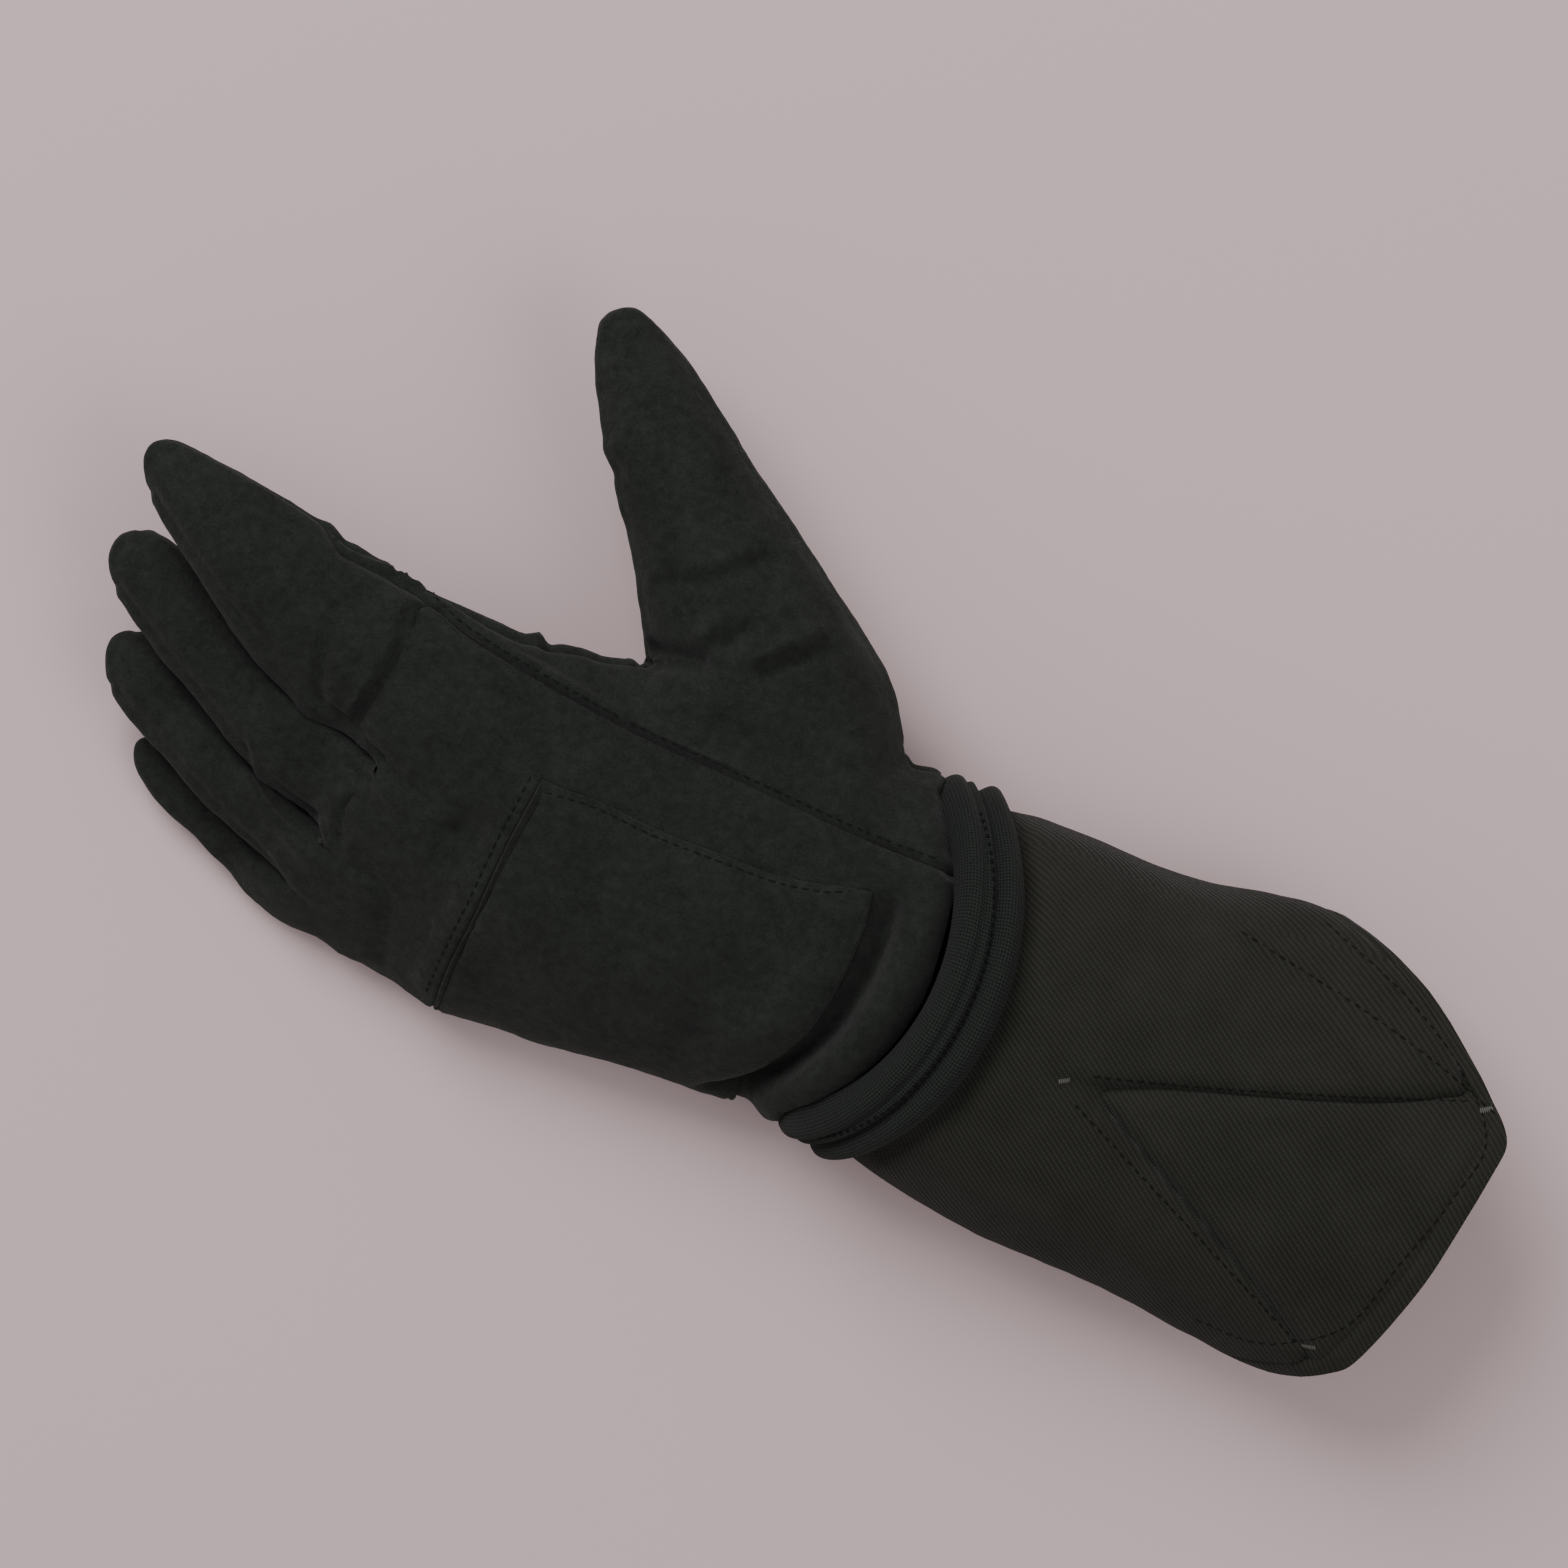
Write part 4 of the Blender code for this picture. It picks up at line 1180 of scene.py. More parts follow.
    folds: tuple[Fold, ...] = (
        # The edge of the cloth over the finger end of the patch
        Fold(((-83.0, -64.0), (-84.0, -54.0), (-84.8, -43.0), (-85.0, -29.0), (-85.0, -12.0), (-84.6, 4.0)),
             height=-0.7, width=1.4, step=2.3, fade=9.0, shift=-1.2, ends=3.0),
        Fold(((-88.5, -56.0), (-89.3, -43.0), (-89.5, -29.0), (-89.5, -12.0), (-89.0, 3.0)),
             height=0.6, width=2.2, ends=6.0),
        # The swelling at the patch's wrist end, the hollow beyond it and the fold before the band
        Fold(((-23.0, -44.0), (-17.0, -33.0), (-11.0, -20.0), (-9.5, -5.0), (-10.0, 6.0), (-12.5, 14.0)),
             height=1.8, width=5.0, ends=9.0),
        Fold(((-22.0, -52.0), (-14.0, -43.5), (-6.0, -34.5), (0.0, -21.5), (1.8, -5.6), (1.2, 7.3),
              (-1.6, 18.5)), height=-5.0, width=3.1, ends=9.0),
        Fold(((-9.0, -46.0), (-0.5, -33.0), (6.5, -14.0), (9.5, 0.0), (9.5, 12.0), (6.0, 21.0)),
             height=1.6, width=3.4, ends=6.0),
        # The hand's end sinks where the band grips it
        Fold(((1.0, 44.6), (3.4, 40.1), (9.3, 32.0), (14.8, 20.0), (18.0, 5.5), (18.0, -9.7), (14.8, -23.8),
              (9.3, -35.2), (3.4, -42.3), (1.0, -46.0)), height=-2.2, width=3.0, ends=2.0),
        # The band sewn across the index finger's root
        Fold(((-131.3, -3.5), (-130.2, 7.0), (-129.8, 18.0), (-131.0, 28.5)),
             height=-1.0, width=1.2, step=1.6, fade=8.0, shift=-0.9, ends=2.0),
        Fold(((-137.8, -3.0), (-137.0, 4.0), (-137.6, 12.0), (-138.2, 22.0)),
             height=0.5, width=2.6, ends=3.0),
        Fold(((-137.0, -4.0), (-141.5, 3.0), (-144.0, 12.0), (-145.5, 22.0)),
             height=-1.1, width=1.7, ends=3.0),
        # The line between the index and middle fingers runs on into a pit
        Fold(((-126.0, -7.5), (-115.1, -10.3), (-108.0, -12.6), (-102.5, -14.4)), height=-2.2, width=1.7),
        Fold(((-110.0, -7.0), (-104.5, -9.6), (-99.8, -13.5)), height=-1.0, width=1.1, ends=3.0),
        Fold(((-104.5, -18.0), (-99.5, -16.5), (-96.0, -13.0)), height=-0.9, width=1.3, ends=3.0),
        # The cloth swells to fill the space between the fingers' roots
        Fold(((-106.0, -16.5), (-113.0, -14.6), (-121.0, -12.4), (-130.0, -9.8), (-138.0, -7.4),
              (-147.0, -3.4)), height=2.6, width=2.8, ends=8.0),
        Fold(((-118.0, -39.0), (-126.0, -37.2), (-134.0, -34.2), (-141.0, -30.8), (-150.0, -27.0)),
             height=2.0, width=2.4, ends=8.0),
        # The folded edge beside the middle finger's root
        Fold(((-130.0, -33.5), (-138.6, -30.8), (-146.1, -25.0), (-152.3, -16.0)),
             height=-0.8, width=1.0, ends=3.0),
        Fold(((-131.5, -31.0), (-139.8, -28.0), (-147.2, -22.2), (-153.0, -14.0)),
             height=0.9, width=1.0, ends=4.0),
        # The edges across the ring and little fingers' roots
        Fold(((-121.0, -34.0), (-123.9, -25.0), (-123.4, -17.0)),
             height=-0.8, width=1.1, step=1.4, fade=5.0, shift=-0.9, ends=2.5),
        Fold(((-100.2, -55.0), (-102.4, -49.0), (-104.6, -43.5), (-105.6, -39.2), (-109.6, -36.4),
              (-117.4, -35.8)), height=-0.9, width=1.9, step=1.2, fade=7.0, shift=-1.0, ends=3.0),
        Fold(((-134.0, -27.5), (-125.2, -28.4), (-119.0, -33.0)), height=-1.1, width=1.2),
        Fold(((-112.0, -44.0), (-116.0, -41.5), (-123.0, -41.0)), height=-0.7, width=1.6),
        # The folds at the thumb's root
        Fold(((-79.0, 41.0), (-73.0, 41.6), (-66.9, 43.8), (-60.0, 45.4)), height=-3.0, width=2.8, ends=4.0),
        Fold(((-68.5, 47.0), (-65.5, 53.0), (-63.5, 60.0)), height=1.6, width=2.2),
        Fold(((-63.2, 47.0), (-58.5, 54.5), (-55.6, 62.0)), height=-1.9, width=2.1),
        Fold(((-57.2, 47.5), (-51.0, 54.0), (-45.1, 60.5), (-40.0, 67.0)), height=1.6, width=2.0),
        Fold(((-53.0, 45.0), (-46.5, 51.5), (-40.5, 58.0), (-35.5, 65.0)), height=-1.6, width=2.1),
        Fold(((-82.5, 56.0), (-72.5, 61.3), (-64.7, 69.0), (-56.0, 77.0)), height=-1.5, width=2.4),
        Fold(((-80.0, 60.5), (-71.0, 66.5), (-64.0, 74.0)), height=0.8, width=2.6),
        Fold(((-30.0, 43.2), (-22.4, 43.1), (-14.3, 42.8), (-6.3, 43.3)), height=-0.5, width=1.4),
        # The seam's raised edge on the thumb's side
        Fold(((-148.0, 33.0), (-126.5, 31.9), (-114.2, 28.9), (-90.4, 26.6), (-68.6, 25.6), (-49.0, 26.1),
              (-28.6, 26.5), (-10.6, 26.9), (4.0, 28.1)), height=1.0, width=1.5, ends=8.0),
    )
    bumps: tuple[Bump, ...] = (
        Bump((-100.5, -13.2), 1.3, 1.6),
        Bump((-94.5, -15.5), -1.9, 6.5),
        Bump((-60.0, 70.5), -1.6, 5.0),
        Bump((-113.0, 12.0), 0.9, 14.0),
        Bump((-116.5, -43.0), 0.9, 6.0),
        Bump((-45.0, -20.0), 1.0, 26.0),
    )
    puckers: tuple[Bump, ...] = (
        Bump((-154.5, 36.5), 0.9, 2.0), Bump((-149.5, 35.5), -0.9, 1.8), Bump((-138.2, 33.8), 1.0, 2.2),
        Bump((-133.5, 33.0), -1.0, 1.8), Bump((-100.1, 33.3), 1.5, 1.7), Bump((-96.6, 33.0), -0.9, 1.8),
        Bump((-88.0, 34.0), 0.6, 3.5), Bump((-121.2, -52.6), 0.9, 2.2), Bump((-116.0, -53.5), -0.8, 2.0),
        Bump((-108.0, -56.0), 0.7, 3.0), Bump((-103.5, 80.5), 0.9, 2.2), Bump((-99.8, 75.6), -0.9, 1.9),
    )
    seam_lines: tuple[SeamLine, ...] = (SeamLine(0.45, 1.5, 2.6), SeamLine(-0.90, 1.0))
    waves: tuple[Waves, ...] = (Waves(0.30, 26.0, 3), Waves(0.10, 8.0, 4), Waves(0.035, 2.6, 5))
    # How much weaker the seam's relief is beside the strips between the fingers
    strip_weakening: SeamLine = SeamLine(-0.6, 3.0)
    # The x, in mm, at which the patch's side ends and its finger end and wrist end begin
    patch_corners: tuple[float, float] = (-80.0, -11.5)
    # The patch's edge, in mm: its least height, how far it swells and over what width, and the sunk
    # line of its stitches with the distances from the edge at which that line starts
    pad_edge: float = 0.15
    pad_swell: float = 1.1
    pad_rounding: float = 2.2
    pad_groove: SeamLine = SeamLine(-0.45, 0.55, 1.6)
    pad_groove_start: tuple[float, float] = (0.6, 1.2)

    def cage(self) -> Cage:
        """Builds the coarse surface.

        Returns:
            The coarse surface of the whole hand.
        """
        cage = Cage(reverse=True)
        lines = self.add_lines(cage)
        self.add_palm(cage, lines)
        self.add_fingers(cage, lines[-1])
        self.add_thumb(cage, lines)
        return cage

    def line_of(self, row: int) -> int:
        """Returns the cage's line on which a row of the table lies."""
        return sum(self.row_steps[:row])

    def place(self, digit: Digit, reach: float) -> np.ndarray:
        """Returns the middle of a digit's section."""
        return np.array((digit.along * self.length, digit.across * reach, digit.height * self.depth))

    def add_lines(self, cage: Cage) -> list[list[int]]:
        """Adds the points of the palm and the back.

        Args:
            cage: The surface.

        Returns:
            The points of each line round the hand.
        """
        rows = smooth_rows(self.rows, self.row_steps)
        lines = []
        for number, row in enumerate(rows):
            near = [row.seam * part for part in self.near_seam]
            shares = (*near, row.patch, *self.front_shares)
            turn = math.radians(row.roll)
            line = []
            for angle in section_angles(shares, shares, self.down):
                x = row.along * self.length + row.reach * self.width * rim_reach(angle)
                if number == len(rows) - 1:
                    x -= self.root_slant * self.width * (0.5 - 0.5 * math.cos(angle))
                out = row.half_width * self.width * math.cos(angle)
                up = row.half_depth * self.depth * signed_power(math.sin(angle), self.roundness)
                line.append(cage.add_point((
                    x, *turned_place(row.centre * self.width, row.height * self.depth, out, up, turn))))
            lines.append(line)
        return lines

    def mark_of(self, line: int, column: int) -> int | None:
        """Finds which piece of cloth a face belongs to.

        Args:
            line: The line before the face.
            column: The face's column.

        Returns:
            The face's mark, or None inside the thumb.
        """
        last = self.fingers * self.across
        back_last = 2 * last + self.down
        start, end = (self.line_of(row) for row in self.thumb_rows)
        if start <= line < end and (column < self.thumb_columns or column >= back_last - self.thumb_columns):
            return None
        if column < self.seam_column(line) or column >= back_last + self.down // 2:
            return Panel.THUMB_FRONT
        if column >= last + self.down // 2:
            return Panel.BACK
        first, final = (self.line_of(row) for row in self.patch_rows)
        covered = first <= line < final and column > self.thumb_columns
        return Panel.PALM + (PATCH_MARK if covered else 0)

    def seam_column(self, line: int) -> int:
        """Returns the column that the thumb's seam follows on a line of the hand."""
        return min(self.thumb_columns, self.line_of(len(self.rows) - 1) - line)

    def add_split(self, cage: Cage, corners: tuple[int, int, int, int], mark: int) -> None:
        """Adds a face in two halves, the first of them the thumb's cloth.

        Args:
            cage: The surface.
            corners: The face's corners, two on the line before and then two on the line after.
            mark: The mark of the second half.
        """
        a, b, c, d = corners
        cage.add_face((a, b, d), Panel.THUMB_FRONT)
        cage.add_face((b, c, d), mark)

    def add_palm(self, cage: Cage, lines: list[list[int]]) -> None:
        """Joins the lines of the palm and the back with faces, leaving the thumb's root open.

        Args:
            cage: The surface.
            lines: The points of each line.
        """
        for line in range(len(lines) - 1):
            for column in range(len(lines[0])):
                mark = self.mark_of(line, column)
                corners = quad(lines[line], lines[line + 1], column)
                if mark is None:
                    continue
                if column == self.seam_column(line + 1) < self.seam_column(line):
                    self.add_split(cage, corners, Panel.PALM)
                else:
                    cage.add_face(corners, mark)

    def add_tube(self, cage: Cage, root: list[int], rings: list[np.ndarray],
                 mark_of: Callable[[int, int], int],
                 splits: Sequence[tuple[int, int]] = ()) -> list[list[int]]:
        """Joins a root ring and the rings after it.

        Args:
            cage: The surface.
            root: The points of the root's ring.
            rings: The places of the points of each ring after it.
            mark_of: Gives the mark of the face before a ring, in a column.
            splits: The rings and columns of the faces that the thumb's seam crosses.

        Returns:
            The points of each ring after the root.
        """
        before, added = root, []
        for number, ring in enumerate(rings):
            after = [cage.add_point(point) for point in ring]
            added.append(after)
            for column in range(len(before)):
                corners = quad(before, after, column)
                if (number, column) in splits:
                    self.add_split(cage, corners, mark_of(number, column))
                else:
                    cage.add_face(corners, mark_of(number, column))
            before = after
        return added

    def add_cap(self, cage: Cage, rings: list[list[int]], wide: int, deep: int,
                mark_of: Callable[[int], int]) -> None:
        """Closes a digit's end with a rounded grid of faces.

        Args:
            cage: The surface.
            rings: The digit's last two rings.
            wide: How many faces lie across the digit.
            deep: How many lie down its side.
            mark_of: Gives the mark of a row of faces.
        """
        before, ring = rings
        grid = {}
        for column in range(wide + 1):
            grid[0, column] = ring[column]
            grid[deep, column] = ring[2 * wide + deep - column]
        for row in range(1, deep):
            grid[row, wide] = ring[wide + row]
            grid[row, 0] = ring[(2 * wide + 2 * deep - row) % len(ring)]
        last = np.array([cage.points[number] for number in ring])
        outward = last.mean(axis=0) - np.mean([cage.points[number] for number in before], axis=0)
        outward /= np.linalg.norm(outward)
        spread = np.linalg.norm(last[0] - last[len(ring) // 2])
        for row in range(1, deep):
            for column in range(1, wide):
                s, t = column / wide, row / deep
                top, bottom, left, right = (np.array(cage.points[grid[key]]) for key in (
                    (0, column), (deep, column), (row, 0), (row, wide)))
                point = 0.5 * (top * (1 - t) + bottom * t + left * (1 - s) + right * s)
                dome = math.sqrt((1 - (2 * s - 1) ** 2) * (1 - (2 * t - 1) ** 2))
                grid[row, column] = cage.add_point(point + outward * spread * self.tip_bulge * dome)
        for row in range(deep):
            for column in range(wide):
                cage.add_face((grid[row, column], grid[row, column + 1],
                               grid[row + 1, column + 1], grid[row + 1, column]), mark_of(row))

    def add_crotch(self, cage: Cage, line: list[int], finger: int) -> list[int]:
        """Adds the points between two fingers.

        Args:
            cage: The surface.
            line: The palm's last line.
            finger: The first of the two fingers.

        Returns:
            The points from the palm's side down to the back.
        """
        front = line[(finger + 1) * self.across]
        back = line[2 * self.fingers * self.across + self.down - (finger + 1) * self.across]
        top, bottom = np.array(cage.points[front]), np.array(cage.points[back])
        depth = self.crotch_depth * np.linalg.norm(top - bottom)
        inner = []
        for number in range(1, self.down):
            share = number / self.down
            point = top * (1 - share) + bottom * share
            point[0] += depth * math.sin(math.pi * share)
            inner.append(cage.add_point(point))
        return [front, *inner, back]

    def add_fingers(self, cage: Cage, line: list[int]) -> None:
        """Adds the fingers.

        Args:
            cage: The surface.
            line: The palm's last line.
        """
        across, down, last = self.across, self.down, self.fingers * self.across
        crotches = [self.add_crotch(cage, line, finger) for finger in range(self.fingers - 1)]
        back_start = last + down
        strips = (Panel.STRIP_1, Panel.STRIP_2, Panel.STRIP_3)
        for number, digits in enumerate(self.finger_rows):
            front = line[number * across:(number + 1) * across + 1]
            back = line[back_start + last - (number + 1) * across:back_start + last - number * across + 1]
            far = line[last + 1:last + down] if number == self.fingers - 1 else crotches[number][1:-1]
            near = line[-(down - 1):] if number == 0 else crotches[number - 1][-2:0:-1]

            def mark_of(ring: int, column: int, number: int = number) -> int:
                """Finds which piece of cloth a face of this finger belongs to.

                Args:
                    ring: The ring after the face.
                    column: The face's column.
                    number: The finger.

                Returns:
                    The face's mark.
                """
                front = Panel.INDEX if number == 0 and ring > 0 else Panel.PALM
                if column < across:
                    return front
                if column < across + down:
                    if number < self.fingers - 1:
                        return strips[number]
                    return front if column < across + down // 2 else Panel.BACK
                if column < 2 * across + down:
                    return Panel.BACK
                if number > 0:
                    return strips[number - 1]
                if column == self.seam_face and ring < self.seam_end:
                    return Panel.THUMB_FRONT
                return Panel.BACK if column < 2 * across + down + down // 2 else front

            digits = smooth_rows(digits, (2,) * (len(digits) - 1))
            rings = []
            for digit in digits:
                turn = math.radians(digit.roll)
                wide = digit.half_width * self.width * np.array((0.0, math.cos(turn), math.sin(turn)))
                up = digit.half_depth * self.depth * np.array((0.0, -math.sin(turn), math.cos(turn)))
                rings.append(oval(self.place(digit, self.width), wide, up, math.pi / 4,
                                  2 * (across + down)))
            splits = ((0, self.seam_face + 1), (self.seam_end, self.seam_face)) if number == 0 else ()
            added = self.add_tube(cage, [*front, *far, *back, *near], rings, mark_of, splits)
            self.add_cap(cage, added[-2:], across, down,
                         lambda row, last=len(rings): mark_of(last, 0 if row < down // 2 else across + down))

    def add_thumb(self, cage: Cage, lines: list[list[int]]) -> None:
        """Adds the thumb over the opening that was left on the hand's side.

        Args:
            cage: The surface.
            lines: The points of each line round the hand.
        """
        last = self.fingers * self.across
        back_last = 2 * last + self.down
        count = len(lines[0])
        columns = [column % count
                   for column in range(back_last - self.thumb_columns, count + self.thumb_columns + 1)]
        start, end = (self.line_of(row) for row in self.thumb_rows)
        long, deep = end - start, len(columns) - 1
        front = [lines[line][columns[-1]] for line in range(start, end + 1)]
        web = [lines[end][column] for column in reversed(columns[1:-1])]
        back = [lines[line][columns[0]] for line in range(end, start - 1, -1)]
        wrist = [lines[start][column] for column in columns[1:-1]]
        root = [*front, *web, *back, *wrist]

        def mark_of(_: int, column: int) -> int:
            """Returns the mark of a column of the thumb's faces, which is the same in every ring."""
            is_back = long + deep // 2 <= column < 2 * long + deep + deep // 2
            return Panel.THUMB_BACK if is_back else Panel.THUMB_FRONT

        first = math.pi / 2 - math.pi * long / (2 * (long + deep))
        rings = []
        for digit in smooth_rows(self.thumb_sections, (2,) * (len(self.thumb_sections) - 1)):
            turn = math.radians(digit.roll)
            wide = digit.half_width * self.thumb_width * np.array((math.cos(turn), math.sin(turn), 0.0))
            up = digit.half_depth * self.thumb_depth * np.array((0.0, 0.0, 1.0))
            rings.append(oval(self.place(digit, self.thumb_reach), wide, up, first, len(root)))
        added = self.add_tube(cage, root, rings, mark_of)
        self.add_cap(cage, added[-2:], long, deep,
                     lambda row: Panel.THUMB_FRONT if row < deep // 2 else Panel.THUMB_BACK)

    def cloth(self) -> Cloth:
        """Makes the hand's cloth.

        Returns:
            The fine surface, with its seams and folds.
        """
        cloth = self.cage().refined(3)
        thumb, palm, patch = (frozenset((mark,)) for mark in (
            Panel.THUMB_FRONT, Panel.PALM, Panel.PALM + PATCH_MARK))
        finger_corner, wrist_corner = self.patch_corners
        draw_borders(cloth, (
            Drawn(self.thumb_seam, (thumb, palm | patch | {Panel.INDEX})),
            Drawn(self.patch_side, (palm, patch), finger_corner, wrist_corner),
            Drawn(self.patch_finger_end, (palm, patch), high=finger_corner),
            Drawn(self.patch_wrist_end, (palm, patch), low=wrist_corner)))
        strips = {Panel.STRIP_1, Panel.STRIP_2, Panel.STRIP_3}
        seams = cloth.distances(lambda one, other: one % PATCH_MARK != other % PATCH_MARK, 8.0)
        near_strip = cloth.distances(lambda one, other: bool({one, other} & strips), 8.0)
        heights = cloth.fold_heights((*self.folds, *self.bumps))
        for pucker in self.puckers:
            heights += pucker.heights(cloth.points[:, :2])
        soft = 1.0 + self.strip_weakening.heights(near_strip)
        heights += soft * sum(line.heights(seams) for line in self.seam_lines) * MM
        cloth.lift(heights + cloth.wave_heights(self.waves))
        return cloth

    def build(self, cloth: Cloth, place: Vector) -> list[bpy.types.Object]:
        """Adds the hand's pieces and the patch.

        Args:
            cloth: The hand's fine surface.
            place: Where the drawing's origin lies in the frame.

        Returns:
            The pieces.
        """
        pieces = super().build(cloth, place)
        covered = cloth.marks >= PATCH_MARK
        edge = cloth.distances(lambda one, other: (one >= PATCH_MARK) != (other >= PATCH_MARK), 12.0)
        rounding = np.sqrt(1 - (1 - np.clip(edge / self.pad_rounding, 0, 1)) ** 2)
        lift = self.patch_wall + (self.pad_edge + self.pad_swell * rounding) * MM
        lift += self.pad_groove.heights(edge) * smooth_step(edge, *self.pad_groove_start) * MM
        pieces.append(add_cloth("palm_pad", self.finish, cloth, covered, self.patch_wall, place,
                                ["palm_patch"], lift))
        return pieces


@dataclass(frozen=True)
class Ridge:
    """One line along the wrist band, in shares of its width and height."""

    share: float
    rise: float


@dataclass
class Band(SewnPart):
    """The elastic wrist band: two soft ridges with a stitched groove between them."""

    finish = ELASTIC
    pieces = {Panel.BAND: ("elastic_band", "wrist_band")}
    width: float = 0.0155
    height: float = 0.0040
    start: float = 0.0002
    reach: float = 0.0187
    centre: float = -0.0004
    level: float = 0.0280
    wrist_width: float = 0.0880
    wrist_depth: float = 0.0500
    roll: float = 4.0
    wall: float = 0.0014
    roundness: float = 0.85
    flat_radius: float = 0.037
    columns: int = 56
    profile: tuple[Ridge, ...] = (
        Ridge(-0.08, -0.80), Ridge(-0.02, 0.05), Ridge(0.09, 0.68), Ridge(0.20, 0.88), Ridge(0.29, 0.80),
        Ridge(0.34, 0.58), Ridge(0.39, 0.80), Ridge(0.46, 0.84), Ridge(0.53, 0.30), Ridge(0.60, 0.62),
        Ridge(0.69, 1.08), Ridge(0.80, 1.18), Ridge(0.92, 0.92), Ridge(1.00, 0.35),
    )

    def cloth(self) -> Cloth:
        """Makes the band's cloth.

        Returns:
            The fine surface.
        """
        cage = Cage()
        turn = math.radians(self.roll)
        rows, flats = [], []
        run = 0.0
        for number, ridge in enumerate(self.profile):
            if number:
                before = self.profile[number - 1]
                run += math.hypot((ridge.share - before.share) * self.width,
                                  (ridge.rise - before.rise) * self.height)
            row = []
            for column in range(self.columns):
                angle = 2 * math.pi * column / self.columns
                out = (self.wrist_width / 2 + ridge.rise * self.height) * math.cos(angle)
                up = ((self.wrist_depth / 2 + ridge.rise * self.height)
                      * signed_power(math.sin(angle), self.roundness))
                x = self.start + ridge.share * self.width + self.reach * rim_reach(angle)
                row.append(cage.add_point((x, *turned_place(self.centre, self.level, out, up, turn))))
            rows.append(row)
            flats.append([(column * 2 * math.pi * self.flat_radius / self.columns, run)
                          for column in range(self.columns + 1)])
        for line in range(len(rows) - 1):
            for column in range(self.columns):
                cage.add_face(quad(rows[line], rows[line + 1], column), Panel.BAND,
                              quad(flats[line], flats[line + 1], column))
        return cage.refined(2)


@dataclass(frozen=True)
class Reach:
    """How far the cuff's rim reaches at an angle round it, at the wrist and at the mouth."""

    angle: float
    wrist: float
    mouth: float


